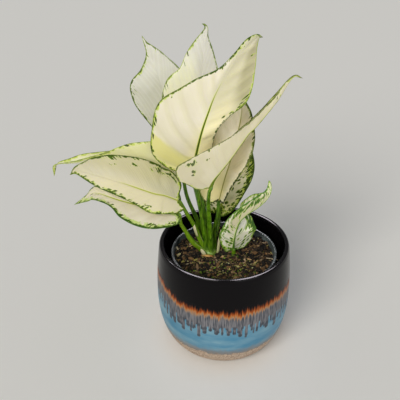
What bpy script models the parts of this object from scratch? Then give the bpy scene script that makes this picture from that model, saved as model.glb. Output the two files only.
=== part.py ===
"""White joy chinese evergreen (Aglaonema) in a nursery pot inside a glazed stoneware cover pot.

Metres, +Z up.  The origin is the middle of the flat foot of the cover pot.  The front, as the
plant is seen, is -Y, and most leaves lean to the left (-X) and to the front.
Shapes are written in millimetres, because they are small, and scaled once when a mesh is made.
"""
import math

import bmesh
import bpy
import numpy as np
from mathutils import Vector

# Common sizes, in millimetres
MM = 0.001
GAP = 0.3                       # clearance between pieces that touch

# Cover pot: slip-cast stoneware, for a nursery pot of 12 cm
POT_HEIGHT = 127.0
POT_FOOT_R = 52.5
POT_BELLY_R = 75.0
POT_BELLY_Z = 67.0
POT_SWELL_UP = 2.35
POT_SWELL_OUT = 1.6
POT_RIM_R = 71.0
POT_WALL = 5.0
POT_FLOOR = 6.0
POT_LIP_R = 2.4
POT_SIDES = 56

# Nursery pot: thin plastic, standing on the floor of the cover pot
NURSERY_RIM_R = 58.5
NURSERY_TOP_Z = 114.0
NURSERY_FOOT_R = 43.0
NURSERY_WALL = 1.0
NURSERY_LIP = 1.8
NURSERY_LIP_DROP = 6.0
NURSERY_FOOT_RISE = 3.0
NURSERY_FLOOR = 1.4
NURSERY_SIDES = 40
DRAIN_HOLES = 5
DRAIN_HOLE_R = 4.0
DRAIN_RING_R = 26.0

# Potting soil
SOIL_Z = 108.0
SOIL_RINGS = 8
SOIL_SIDES = 40
SOIL_RELIEF = 0.9

# Main shoot: short cane with the sheaths of nine leaf stalks
CANE_X = -16.5
CANE_Y = 8.0
CANE_PROFILE = ((74.0, 6.0), (78.0, 7.5), (96.0, 9.6), (108.0, 11.0), (111.0, 10.2), (114.0, 7.5))
CANE_SIDES = 20
STALK_SIDES = 8
STALK_RINGS = 12
STALK_TIP_R = 1.8               # where it meets the blade
SHEATH_R = 3.3                  # where it leaves the cane
STALK_JOINT = 4.0               # short straight end in line with the midrib

# Side shoot: one young leaf straight out of the soil
SIDE_X = 10.8
SIDE_Y = 0.8
SIDE_PROFILE = ((84.0, 2.2), (90.0, 2.9), (106.0, 3.1))

# Blades
BLADE_HALF = 0.34               # half of the thickness of the blade
RIDGE = 3.3                     # depth of the midrib under the base of the blade
BLADE_ROWS = 20
BLADE_COLUMNS = (0.0, 0.06, 0.32, 0.66, 1.0)
FOLD_R = 1.5                    # the two halves bend apart within this distance of the rib
RIB_POWER = 2.0                 # veins leave the rib closer together near the base

# Leaves, in millimetres and degrees.
# rib: points of the midrib from the base of the blade to its tip.
# face: the way the upper face looks, from base to tip.
# right, left: half of the flat outline, as (along the rib, out from it), seen from above
# with the tip ahead.  The first points lie behind the base, in the lobes.
# fold_right, fold_left: how far that half is lifted out of the plane, from base to tip.
LEAVES = {
    "leaf_back_left": dict(
        rib=((-58, 34, 241), (-61, 34, 264), (-66, 36, 293), (-74, 42, 316), (-81, 46, 331),
             (-84, 48, 339)),
        face=((-0.25, -0.85, 0.45),),
        left=((-5, 9), (12, 20), (36, 31), (54, 32), (66, 27), (74, 14), (87, 3)),
        right=((-5, 9), (8, 26), (36, 38), (60, 30), (76, 19), (88, 9), (97, 3)),
        fold_left=(10,),
        fold_right=(25, 25, 30)),
    "leaf_back_middle": dict(
        rib=((-37, 12, 242), (-30, 10, 276), (-25, 14, 310), (-23, 22, 333), (-21, 30, 349),
             (-22, 32, 353), (-25, 31, 355)),
        face=((-0.15, -0.9, 0.4),),
        left=((-6, 9), (4, 26), (34, 35), (60, 33), (74, 22), (88, 17), (102, 9), (113, 2)),
        right=((-6, 9), (4, 25), (34, 35), (66, 28), (84, 19), (100, 8), (113, 3)),
        fold_left=(10,),
        fold_right=(40, 45, 50)),
    "leaf_front_middle": dict(
        rib=((-34, -8, 216), (-30, -14, 240), (-25, -20, 265), (-19, -23, 286), (-12, -24, 306),
             (-1, -22, 326), (12, -15, 344), (24, -5, 352.5), (31, 3, 350)),
        face=((-0.3, -0.85, 0.45),),
        left=((-6, 14), (-3, 32), (10, 46), (36, 50), (64, 48), (92, 27), (114, 10), (134, 5),
              (152, 4)),
        right=((-3, 7), (0, 14), (16, 17), (40, 14), (62, 14), (82, 21), (102, 31), (117, 30),
               (134, 21), (149, 10), (160, 3)),
        fold_left=(12, 5, 10),
        fold_right=(-45, -35, 5, 20, 25)),
    "leaf_front_right": dict(
        rib=((-17, -25, 209), (-12, -28, 220), (2, -32, 242), (18, -32, 268), (26, -31, 277),
             (44, -25, 299), (55, -18, 315), (61, -14, 319), (68, -11, 316)),
        face=((-0.6, 0.6, 0.5),),
        left=((-6, 10), (-2, 26), (14, 32), (44, 26), (72, 15), (96, 11), (120, 7)),
        right=((-7, 8), (-3, 22), (4, 35), (13, 43), (25, 36), (42, 26), (64, 14), (88, 9),
               (110, 6), (128, 4)),
        fold_left=(45, 60, 85),
        fold_right=(35, 40, 40)),
    "leaf_right_upper": dict(
        rib=((-6, 6, 175), (-1, 5, 200), (5, 6, 223), (11, 10, 248), (15, 16, 272), (13, 24, 292)),
        face=((-0.05, -0.85, 0.5),),
        left=((-5, 8), (-1, 18), (22, 28), (52, 32), (76, 28), (94, 19), (108, 8)),
        right=((-1, 6), (6, 10), (26, 16), (44, 20), (62, 23), (80, 22), (96, 14), (108, 6)),
        fold_left=(15, 15, 20),
        fold_right=(65, 40, 30)),
    "leaf_right_lower": dict(
        rib=((-3, 28, 154), (5, 32, 180), (15, 38, 203), (21, 46, 223), (23, 54, 236)),
        face=((-0.05, -0.8, 0.6),),
        left=((-11, 5), (-8, 14), (1, 22), (14, 27), (30, 28), (46, 23), (66, 12)),
        right=((-11, 4), (-7, 10), (4, 16), (16, 19), (32, 22), (45, 22), (58, 18), (70, 11)),
        fold_left=(15, 15, 20),
        fold_right=(15, 15, 20)),
    "leaf_left_upper": dict(
        rib=((-48, 12, 201), (-79, 18, 202), (-114, 24, 206), (-145, 30, 207), (-167, 35, 204),
             (-184, 38, 200), (-188, 40, 185)),
        face=((0.0, 0.8, 0.6), (0.0, 0.5, 0.8), (0.0, 0.3, 0.95)),
        left=((-6, 10), (-2, 26), (20, 39), (50, 36), (80, 20), (108, 9), (130, 4)),
        right=((-6, 10), (-2, 26), (20, 36), (50, 31), (80, 25), (108, 14), (130, 6)),
        fold_left=(40, 38, 10),
        fold_right=(40, 45, 50)),
    "leaf_left_middle": dict(
        rib=((-49, -15, 187), (-62, -19, 195), (-74, -21, 199), (-100, -22, 210),
             (-126, -18, 217), (-149, -10, 219), (-159, -6, 212)),
        face=((-0.1, -0.6, 0.8),),
        left=((-8, 6), (-4, 12), (10, 18), (26, 20), (42, 16.5), (60, 14), (80, 12), (98, 8),
              (110, 4)),
        right=((-1, 8), (2, 20), (22, 30), (50, 31), (76, 26), (98, 17), (110, 7)),
        fold_left=(-8, -20, -20),
        fold_right=(5,)),
    "leaf_left_lower": dict(
        rib=((-51, -18, 174), (-78, -20, 181), (-108, -20, 190), (-132, -17, 197),
             (-143, -14, 190), (-157, -12, 180)),
        face=((-0.1, -0.45, 0.9),),
        left=((-5, 6), (-3, 13), (12, 22), (34, 25), (54, 20), (66, 11), (88, 8)),
        right=((-4, 10), (0, 24), (22, 34), (48, 32), (76, 15), (94, 5)),
        fold_left=(5,),
        fold_right=(5,)),
    "leaf_side_shoot": dict(
        rib=((10, 2, 113), (11, -4, 134), (13, -6, 146), (16, -7, 156), (24, -5, 164),
             (35, 0, 169), (45, 6, 176), (49, 9, 185), (46, 10, 197)),
        face=((-0.4, 0.8, 0.4),),
        left=((-3, 8), (0, 17), (8, 23), (18, 26), (32, 27), (48, 24), (62, 22), (76, 18),
              (91, 8)),
        right=((-2, 7), (4, 11), (14, 15), (27, 18), (42, 16), (56, 15), (66, 15), (86, 10),
               (98, 4)),
        fold_left=(0, 0, 60, 90, 90),
        fold_right=(10, 20, 30)),
}

# Points that each leaf stalk of the main shoot passes, in millimetres, from inside the cane up.
# The last stretch is worked out from the midrib that it runs into.
STALKS = {
    "leaf_back_left": ((-18, 12, 102), (-23, 18, 140), (-33, 26, 185), (-38, 30, 204)),
    "leaf_back_middle": ((-14, 12, 102), (-18, 15, 135), (-31, 17, 195)),
    "leaf_front_middle": ((-17, 6, 102), (-22, 4, 136), (-26, 0, 169), (-30, -5, 193)),
    "leaf_front_right": ((-14, 4, 102), (-15, 0, 130), (-17, -8, 162), (-18, -19, 190)),
    "leaf_right_upper": ((-10, 8, 102), (-10, 8, 138), (-7, 8, 156)),
    "leaf_right_lower": ((-13, 11, 102), (-10.5, 16, 115), (-7, 23, 127), (-5, 28.5, 139)),
    "leaf_left_upper": ((-20, 12, 102), (-28, 14, 140), (-41, 12, 178)),
    "leaf_left_middle": ((-19, 9, 102), (-28, 5, 129), (-32, 1, 144), (-40, -8, 166)),
    "leaf_left_lower": ((-21, 7, 102), (-26, 6, 112), (-33, 2, 121), (-42, -6, 143),
                        (-47, -12, 158)),
}


def clear_scene():
    """Remove every object of the open file."""
    for obj in list(bpy.data.objects):
        bpy.data.objects.remove(obj, do_unlink=True)


def material(name, colour, roughness, metallic=0.0):
    """A plain material with the colour, roughness and metallic value of a real surface."""
    mat = bpy.data.materials.new(name)
    mat.use_nodes = True
    shader = mat.node_tree.nodes["Principled BSDF"]
    shader.inputs["Base Color"].default_value = (*colour, 1.0)
    shader.inputs["Roughness"].default_value = roughness
    shader.inputs["Metallic"].default_value = metallic
    return mat


def new_object(name, points, faces, mat, smooth=True):
    """An object from points in millimetres and faces that look out."""
    mesh = bpy.data.meshes.new(name)
    mesh.from_pydata([Vector(p) * MM for p in points], [], faces)
    mesh.materials.append(mat)
    obj = bpy.data.objects.new(name, mesh)
    bpy.context.scene.collection.objects.link(obj)
    if smooth:
        mesh.shade_smooth()
        mesh.set_sharp_from_angle(angle=math.radians(40))
    return obj


def turned(name, profile, sides, mat, centre=(0.0, 0.0)):
    """A solid turned about a vertical axis.

    The profile is a list of (radius, height), from the axis at the bottom, up the outer side
    and back to the axis.  A radius of zero becomes one point on the axis.
    """
    points = []
    rings = []
    for radius, height in profile:
        if radius < 1e-6:
            rings.append([len(points)])
            points.append((centre[0], centre[1], height))
            continue
        rings.append(list(range(len(points), len(points) + sides)))
        for k in range(sides):
            turn = 2.0 * math.pi * k / sides
            points.append((centre[0] + radius * math.cos(turn),
                           centre[1] + radius * math.sin(turn), height))
    faces = []
    for low, high in zip(rings, rings[1:]):
        for k in range(sides):
            after = (k + 1) % sides
            if len(low) == 1:
                faces.append((low[0], high[after], high[k]))
            elif len(high) == 1:
                faces.append((low[k], low[after], high[0]))
            else:
                faces.append((low[k], low[after], high[after], high[k]))
    return new_object(name, points, faces, mat)


def cover_pot_radius(z):
    """Outer radius of the cover pot at a height."""
    if z < POT_BELLY_Z:
        share = z / POT_BELLY_Z
        swell = (1.0 - (1.0 - share) ** POT_SWELL_UP) ** (1.0 / POT_SWELL_OUT)
        return POT_FOOT_R + (POT_BELLY_R - POT_FOOT_R) * swell
    share = (z - POT_BELLY_Z) / (POT_HEIGHT - POT_BELLY_Z)
    return POT_BELLY_R + (POT_RIM_R - POT_BELLY_R) * share ** 2


def make_cover_pot(mat):
    """Rounded cover pot with a flat foot, a soft lip and an even wall."""
    profile = [(0.0, 0.0), (POT_FOOT_R - 1.5, 0.0), (POT_FOOT_R + 1.2, 1.2)]
    for z in (3.5, 8.0, 15.0, 24.0, 36.0, 50.0, 67.0, 84.0, 100.0, 114.0):
        profile.append((cover_pot_radius(z), z))
    lip_z = POT_HEIGHT - POT_LIP_R
    lip_r = POT_RIM_R - POT_LIP_R
    for turn in (-5, 35, 75, 105, 145, 185):
        angle = math.radians(turn)
        profile.append((lip_r + POT_LIP_R * math.cos(angle), lip_z + POT_LIP_R * math.sin(angle)))
    for z in (118.0, 104.0, 86.0, 67.0, 48.0, 30.0, 16.0):
        profile.append((cover_pot_radius(z) - POT_WALL, z))
    profile.append((POT_FOOT_R - 1.0, POT_FLOOR + 2.0))
    profile.append((POT_FOOT_R - 5.0, POT_FLOOR))
    profile.append((0.0, POT_FLOOR))
    return turned("cover_pot", profile, POT_SIDES, mat)


def nursery_radius(z):
    """Outer radius of the nursery pot's tapered wall at a height."""
    share = (z - POT_FLOOR) / (NURSERY_TOP_Z - POT_FLOOR)
    return NURSERY_FOOT_R + (NURSERY_RIM_R - NURSERY_LIP - NURSERY_FOOT_R) * share


def make_nursery_pot(mat):
    """Thin tapered plastic pot with a turned-out lip, a raised floor and drain holes."""
    foot_z = POT_FLOOR + GAP
    under_z = foot_z + NURSERY_FOOT_RISE
    floor_z = under_z + NURSERY_FLOOR
    lip_z = NURSERY_TOP_Z - NURSERY_LIP_DROP
    inner_top = nursery_radius(NURSERY_TOP_Z) - NURSERY_WALL
    profile = [
        (0.0, under_z),
        (NURSERY_FOOT_R - 5.0, under_z),
        (NURSERY_FOOT_R - 4.0, foot_z),
        (NURSERY_FOOT_R, foot_z),
        (nursery_radius(60.0), 60.0),
        (nursery_radius(lip_z), lip_z),
        (NURSERY_RIM_R, lip_z),
        (NURSERY_RIM_R, NURSERY_TOP_Z - 0.8),
        (NURSERY_RIM_R - 0.8, NURSERY_TOP_Z),
        (inner_top + 0.5, NURSERY_TOP_Z),
        (inner_top, NURSERY_TOP_Z - 0.6),
        (nursery_radius(60.0) - NURSERY_WALL, 60.0),
        (nursery_radius(floor_z) - NURSERY_WALL, floor_z),
        (0.0, floor_z),
    ]
    pot = turned("nursery_pot", profile, NURSERY_SIDES, mat)
    for k in range(DRAIN_HOLES):
        turn = 2.0 * math.pi * (k + 0.35) / DRAIN_HOLES
        centre = (DRAIN_RING_R * math.cos(turn), DRAIN_RING_R * math.sin(turn))
        hole = ((0.0, under_z - 2.0), (DRAIN_HOLE_R, under_z - 2.0),
                (DRAIN_HOLE_R, floor_z + 2.0), (0.0, floor_z + 2.0))
        cutter = turned("drain_cutter_%d" % (k + 1), hole, 12, mat, centre)
        cut(pot, cutter)
    return pot


def cut(obj, cutter):
    """Cut one object out of another and keep the cutter as a guide."""
    cutter.hide_render = True
    cutter.display_type = "WIRE"
    step = obj.modifiers.new(cutter.name, "BOOLEAN")
    step.operation = "DIFFERENCE"
    step.solver = "EXACT"
    step.object = cutter


def soil_height(x, y):
    """Top of the soil: low lumps, level at the wall and round the shoots."""
    lumps = math.sin(0.19 * x + 1.0) * math.cos(0.23 * y - 0.4)
    lumps += 0.7 * math.sin(0.37 * x - 0.31 * y + 2.1)
    lumps += 0.5 * math.cos(0.52 * y + 0.29 * x)
    reach = min(math.hypot(x - CANE_X, y - CANE_Y), math.hypot(x - SIDE_X, y - SIDE_Y))
    calm = min(1.0, max(0.0, (reach - 12.0) / 12.0))
    return SOIL_Z + SOIL_RELIEF * lumps * calm


def make_soil(mat):
    """Soil that fills the nursery pot, with plain holes for the two shoots."""
    bottom_z = POT_FLOOR + GAP + NURSERY_FOOT_RISE + NURSERY_FLOOR + GAP
    fit = NURSERY_WALL + GAP
    points = [(0.0, 0.0, bottom_z)]
    rings = [[0]]
    for z in (bottom_z, 60.0):
        radius = nursery_radius(z) - fit
        rings.append(list(range(len(points), len(points) + SOIL_SIDES)))
        for k in range(SOIL_SIDES):
            turn = 2.0 * math.pi * k / SOIL_SIDES
            points.append((radius * math.cos(turn), radius * math.sin(turn), z))
    edge = nursery_radius(SOIL_Z - 2.5) - fit
    for ring in range(SOIL_RINGS, 0, -1):
        radius = edge * ring / SOIL_RINGS
        rings.append(list(range(len(points), len(points) + SOIL_SIDES)))
        for k in range(SOIL_SIDES):
            turn = 2.0 * math.pi * k / SOIL_SIDES
            x = radius * math.cos(turn)
            y = radius * math.sin(turn)
            points.append((x, y, soil_height(x, y)))
    rings.append([len(points)])
    points.append((0.0, 0.0, soil_height(0.0, 0.0)))
    faces = []
    for low, high in zip(rings, rings[1:]):
        for k in range(SOIL_SIDES):
            after = (k + 1) % SOIL_SIDES
            if len(low) == 1:
                faces.append((low[0], high[after], high[k]))
            elif len(high) == 1:
                faces.append((low[k], low[after], high[0]))
            else:
                faces.append((low[k], low[after], high[after]))
                faces.append((low[k], high[after], high[k]))
    soil = new_object("potting_soil", points, faces, mat)
    for name, profile, centre in (("cane_hole_cutter", CANE_PROFILE, (CANE_X, CANE_Y)),
                                  ("side_hole_cutter", SIDE_PROFILE, (SIDE_X, SIDE_Y))):
        hole = [(0.0, profile[0][0] - GAP)]
        hole += [(radius + GAP, z) for z, radius in profile if z <= SOIL_Z]
        hole[1] = (hole[1][0], profile[0][0] - GAP)
        hole.append((hole[-1][0], SOIL_Z + 8.0))
        hole.append((0.0, SOIL_Z + 8.0))
        cut(soil, turned(name, hole, CANE_SIDES, mat, centre))
    return soil


def smooth_curve(points, count, spread=0.0):
    """Points along a smooth curve through the given points.

    A spread of 0 gives every stretch the same number of points, and 1 shares them by length.
    """
    given = np.array(points, dtype=float)
    gaps = np.linalg.norm(np.diff(given, axis=0), axis=1) ** spread
    knots = np.concatenate([[0.0], np.cumsum(gaps)])
    slopes = np.diff(given, axis=0) / gaps[:, None]
    weight = (gaps[1:] / (gaps[:-1] + gaps[1:]))[:, None]
    inner = slopes[:-1] * weight + slopes[1:] * (1.0 - weight)
    slopes = np.vstack([slopes[:1], inner, slopes[-1:]])
    place = np.linspace(0.0, knots[-1], count)
    index = np.clip(np.searchsorted(knots, place, side="right") - 1, 0, len(gaps) - 1)
    width = gaps[index][:, None]
    t = (place - knots[index])[:, None] / width
    start = (2 * t ** 3 - 3 * t ** 2 + 1) * given[index]
    leave = (t ** 3 - 2 * t ** 2 + t) * width * slopes[index]
    end = (3 * t ** 2 - 2 * t ** 3) * given[index + 1]
    arrive = (t ** 3 - t ** 2) * width * slopes[index + 1]
    return start + leave + end + arrive


def unit(vectors):
    """Vectors scaled to a length of one."""
    return vectors / np.linalg.norm(vectors, axis=-1, keepdims=True)


def along(values, share):
    """A value that changes evenly from the base (0) to the tip (1)."""
    if len(values) == 1:
        return np.full_like(share, float(values[0]))
    return np.interp(share, np.linspace(0.0, 1.0, len(values)), values)


class Midrib:
    """A curved midrib that carries the two halves of a blade."""

    def __init__(self, leaf):
        curve = smooth_curve(leaf["rib"], 400)
        steps = np.linalg.norm(np.diff(curve, axis=0), axis=1)
        self.run = np.concatenate([[0.0], np.cumsum(steps)])
        self.length = self.run[-1]
        self.curve = curve
        self.ahead = unit(np.gradient(curve, self.run, axis=0))
        share = self.run / self.length
        face = np.array(leaf["face"], dtype=float)
        face = np.stack([along(face[:, k], share) for k in range(3)], axis=1)
        self.up = unit(face - (face * self.ahead).sum(axis=1, keepdims=True) * self.ahead)

    def frame(self, distance):
        """Place, way ahead, way up and way to the right at distances along the rib."""
        inside = np.clip(distance, 0.0, self.length)

        def read(rows):
            return np.stack([np.interp(inside, self.run, rows[:, k]) for k in range(3)], axis=-1)

        ahead = unit(read(self.ahead))
        up = unit(read(self.up))
        place = read(self.curve) + ahead * (distance - inside)[..., None]
        return place, ahead, up, np.cross(ahead, up)


def blade_grid(leaf, rows, columns):
    """Middle surface of a blade: rows run from base to tip, columns from left to right."""
    rib = Midrib(leaf)
    share = np.linspace(0.0, 1.0, rows + 1)
    outlines = {}
    for side in ("left", "right"):
        outlines[side] = smooth_curve(((0, 0), *leaf[side], (rib.length, 0)), rows + 1)
    level = 0.5 * (outlines["left"][:, 0] + outlines["right"][:, 0])
    root = rib.length * share ** RIB_POWER
    root += share ** 2 * (level - root)
    sides = [(-1.0, "left", v) for v in reversed(columns[1:])]
    sides += [(1.0, "right", v) for v in columns]
    grid = np.zeros((rows + 1, len(sides), 3))
    for column, (sign, side, v) in enumerate(sides):
        outline = outlines[side]
        reach = root + (outline[:, 0] - root) * v
        out = np.maximum(outline[:, 1], 0.0) * v
        fold = np.radians(along(leaf["fold_" + side], np.clip(reach / rib.length, 0.0, 1.0)))
        fold = fold * (1.0 - (1.0 - np.exp(-out / FOLD_R)) * FOLD_R / np.maximum(out, 0.01))
        place, ahead, up, right = rib.frame(reach)
        sideways = (sign * out * np.cos(fold))[:, None] * right
        grid[:, column] = place + sideways + (out * np.sin(fold))[:, None] * up
    return grid, rib


def grid_normals(grid, rib):
    """Upward normals of a blade's middle surface, steadied at its two ends."""
    down_rows = np.gradient(grid, axis=0)
    across = np.gradient(grid, axis=1)
    normals = np.cross(down_rows, across)
    size = np.linalg.norm(normals, axis=2, keepdims=True)
    normals = normals / np.maximum(size, 1e-9)
    normals[0] = rib.up[0]
    normals[-1] = rib.up[-1]
    return -normals


def make_blade(name, leaf, mat):
    """A thin closed blade with its midrib raised on the underside."""
    grid, rib = blade_grid(leaf, BLADE_ROWS, BLADE_COLUMNS)
    rows, columns = grid.shape[:2]
    middle = columns // 2
    normals = grid_normals(grid, rib)
    facing = np.sign((normals[rows // 2, middle] * rib.frame(np.array([rib.length / 3]))[2]).sum())
    normals = normals * facing
    normals[0] = rib.up[0]
    normals[-1] = rib.up[-1]
    share = np.linspace(0.0, 1.0, rows)
    depth = np.full((rows, columns), BLADE_HALF)
    depth[:, middle] = BLADE_HALF + (RIDGE - BLADE_HALF) * (1.0 - share ** RIB_POWER) ** 1.5
    depth[0, middle] = BLADE_HALF
    depth[1, middle] = 0.6 * RIDGE
    top = grid + normals * BLADE_HALF
    under = grid - normals * depth[..., None]
    points = []
    places = {}
    for layer, surface in (("top", top), ("under", under)):
        for i in range(rows):
            for j in range(columns):
                at_end = i in (0, rows - 1)
                key = (layer, i, 0 if at_end else j)
                if key not in places:
                    places[key] = len(points)
                    points.append(tuple(surface[i, middle if at_end else j]))
                places[(layer, i, j)] = places[key]
    faces = []

    def add(corners):
        kept = []
        for corner in corners:
            if corner not in kept:
                kept.append(corner)
        if len(kept) == 3:
            faces.append(tuple(kept))

    for i in range(rows - 1):
        for j in range(columns - 1):
            for layer in ("top", "under"):
                a = places[(layer, i, j)]
                b = places[(layer, i, j + 1)]
                c = places[(layer, i + 1, j + 1)]
                d = places[(layer, i + 1, j)]
                pair = ((a, b, c), (a, c, d)) if j < middle else ((a, b, d), (b, c, d))
                for triangle in pair:
                    add(triangle if layer == "top" else triangle[::-1])
        for j, turn in ((0, 1), (columns - 1, -1)):
            a = places[("top", i, j)]
            b = places[("top", i + 1, j)]
            c = places[("under", i + 1, j)]
            d = places[("under", i, j)]
            for triangle in ((a, b, c), (a, c, d)):
                add(triangle[::turn])
    obj = new_object(name, points, faces, mat)
    outward(obj)
    return obj


def outward(obj):
    """Turn the faces of a closed mesh to look out."""
    work = bmesh.new()
    work.from_mesh(obj.data)
    bmesh.ops.recalc_face_normals(work, faces=work.faces)
    if work.calc_volume(signed=True) < 0.0:
        bmesh.ops.reverse_faces(work, faces=work.faces)
    work.to_mesh(obj.data)
    work.free()


def make_tube(name, path, radii, sides, mat):
    """A closed round tube along a path, with its own radius at each point."""
    path = np.array(path, dtype=float)
    ahead = unit(np.gradient(path, axis=0))
    side = unit(np.cross(ahead[0], (0.0, 1.0, 0.0)))
    points = []
    for k, place in enumerate(path):
        side = unit(side - (side * ahead[k]).sum() * ahead[k])
        other = np.cross(ahead[k], side)
        for m in range(sides):
            turn = 2.0 * math.pi * (m + 0.5) / sides
            ring = side * math.cos(turn) + other * math.sin(turn)
            points.append(tuple(place + ring * radii[k]))
    faces = [tuple(range(sides))[::-1]]
    for k in range(len(path) - 1):
        for m in range(sides):
            after = (m + 1) % sides
            low = k * sides
            high = low + sides
            faces.append((low + m, low + after, high + after, high + m))
    faces.append(tuple(range(len(points) - sides, len(points))))
    obj = new_object(name, points, faces, mat)
    outward(obj)
    return obj


def stalk_path(leaf, waypoints):
    """Centre line of a leaf stalk, which runs into the ridge under the base of its blade."""
    rib = Midrib(leaf)
    place, ahead, up, _ = rib.frame(np.array([0.0]))
    end = place[0] - up[0] * (BLADE_HALF + GAP + STALK_TIP_R) - ahead[0] * (GAP + 0.1)
    before = end - ahead[0] * STALK_JOINT
    path = smooth_curve((*waypoints, before), STALK_RINGS, spread=1.0)
    return np.vstack([path, end])


def make_main_shoot(mat):
    """Cane and leaf stalks, joined in one body."""
    cane = [(0.0, CANE_PROFILE[0][0])]
    cane += [(radius, z) for z, radius in CANE_PROFILE]
    cane.append((0.0, CANE_PROFILE[-1][0]))
    shoot = turned("main_shoot", cane, CANE_SIDES, mat, (CANE_X, CANE_Y))
    stalks = bpy.data.collections.new("stalks")
    bpy.context.scene.collection.children.link(stalks)
    for name, waypoints in STALKS.items():
        path = stalk_path(LEAVES[name], waypoints)
        share = np.linspace(0.0, 1.0, len(path))
        radii = STALK_TIP_R + (SHEATH_R - STALK_TIP_R) * (1.0 - share) ** 1.3
        stalk = make_tube("stalk_" + name, path, radii, STALK_SIDES, mat)
        bpy.context.scene.collection.objects.unlink(stalk)
        stalks.objects.link(stalk)
    join(shoot, stalks)
    return shoot


def join(obj, collection):
    """Unite an object with a collection of others, apply that and remove the others."""
    step = obj.modifiers.new("join", "BOOLEAN")
    step.operation = "UNION"
    step.operand_type = "COLLECTION"
    step.solver = "EXACT"
    step.use_self = True
    step.collection = collection
    bpy.context.view_layer.update()
    result = obj.evaluated_get(bpy.context.evaluated_depsgraph_get())
    mesh = bpy.data.meshes.new_from_object(result)
    obj.modifiers.clear()
    obj.data = mesh
    for other in list(collection.objects):
        bpy.data.objects.remove(other, do_unlink=True)
    bpy.data.collections.remove(collection)
    mesh.shade_smooth()
    mesh.set_sharp_from_angle(angle=math.radians(40))


def make_side_shoot(mat):
    """Short stalk of the young leaf that stands in the soil beside the main shoot."""
    rib = Midrib(LEAVES["leaf_side_shoot"])
    place, ahead, up, _ = rib.frame(np.array([0.0]))
    end = place[0] - up[0] * (BLADE_HALF + GAP + STALK_TIP_R) - ahead[0] * (GAP + 0.1)
    path = [(SIDE_X, SIDE_Y, z) for z, _ in SIDE_PROFILE]
    radii = [radius for _, radius in SIDE_PROFILE]
    path.append(tuple(end))
    radii.append(STALK_TIP_R)
    return make_tube("side_shoot", path, radii, 12, mat)


def build():
    clear_scene()
    stoneware = material("black_and_blue_glazed_stoneware", (0.02, 0.02, 0.022), 0.25)
    plastic = material("dark_green_plastic", (0.05, 0.07, 0.065), 0.35)
    soil = material("potting_soil", (0.08, 0.045, 0.025), 0.95)
    green = material("green_stalk", (0.09, 0.22, 0.03), 0.4)
    cream = material("cream_leaf", (0.78, 0.76, 0.56), 0.42)
    make_cover_pot(stoneware)
    make_nursery_pot(plastic)
    make_soil(soil)
    make_main_shoot(green)
    make_side_shoot(green)
    for name, leaf in LEAVES.items():
        make_blade(name, leaf, cream)


build()
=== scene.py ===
# %% [markdown]
# # Potted chinese evergreen
# A pale Aglaonema stands in a nursery pot, inside a rounded cover pot with a reactive glaze.
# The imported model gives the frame, and finer meshes on the same surfaces take the place of its
# solids.  Such a plant could be sculpted, but curves and formulas keep every size readable.
# Shapes are written in millimetres and scaled once, when a mesh is made.

import math
import random

import bmesh
import bpy
import numpy as np
from mathutils import Euler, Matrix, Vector


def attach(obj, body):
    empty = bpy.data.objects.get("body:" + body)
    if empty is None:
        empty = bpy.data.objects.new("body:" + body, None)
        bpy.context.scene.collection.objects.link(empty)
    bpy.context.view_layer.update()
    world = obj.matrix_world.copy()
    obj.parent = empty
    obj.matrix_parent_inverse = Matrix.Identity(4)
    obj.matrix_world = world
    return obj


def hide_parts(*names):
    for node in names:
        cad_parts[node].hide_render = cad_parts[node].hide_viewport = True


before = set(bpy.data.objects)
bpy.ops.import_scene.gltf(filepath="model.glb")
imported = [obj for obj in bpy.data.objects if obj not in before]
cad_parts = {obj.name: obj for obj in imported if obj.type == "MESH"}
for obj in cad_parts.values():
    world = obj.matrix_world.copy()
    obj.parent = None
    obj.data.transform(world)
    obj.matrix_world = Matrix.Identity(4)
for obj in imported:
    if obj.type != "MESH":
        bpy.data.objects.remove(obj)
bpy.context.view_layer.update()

# %% [markdown]
# ## Sizes
# The sizes of the construction again: each finer piece has to lie in the skin of its solid.
# They are named here once, so that the pots, the soil and the stalks stay in step.

# %% Sizes of the pots and the soil
MM = 0.001
GAP = 0.3
POT_HEIGHT = 127.0
POT_FOOT_R = 52.5
POT_BELLY_R = 75.0
POT_BELLY_Z = 67.0
POT_SWELL_UP = 2.35
POT_SWELL_OUT = 1.6
POT_RIM_R = 71.0
POT_WALL = 5.0
POT_FLOOR = 6.0
POT_LIP_R = 2.4
NURSERY_RIM_R = 58.5
NURSERY_TOP_Z = 114.0
NURSERY_FOOT_R = 43.0
NURSERY_WALL = 1.0
NURSERY_LIP = 1.8
NURSERY_LIP_DROP = 6.0
SOIL_Z = 108.0
CANE_X = -16.5
CANE_Y = 8.0
SIDE_X = 10.8
SIDE_Y = 0.8
STALK_TIP_R = 1.8
SHEATH_R = 3.3
STALK_JOINT = 4.0
BLADE_HALF = 0.34
RIDGE = 3.3
FOLD_R = 1.5
RIB_POWER = 2.0
print("cover pot:", 2 * POT_BELLY_R, "mm wide and", POT_HEIGHT, "mm high")

# %% [markdown]
# ## Leaves
# Each real leaf bends along its midrib and is folded along it.  A bent plane would be quick, but a
# curved midrib with two flat halves, each with an outline and a fold, follows the photograph.
# rib holds points of the midrib from the base of the blade to its tip, face the way that the
# upper face looks, left and right half of the outline as (along the rib, out from it), and
# fold_left and fold_right how far that half is lifted out of the plane, in degrees.

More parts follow.
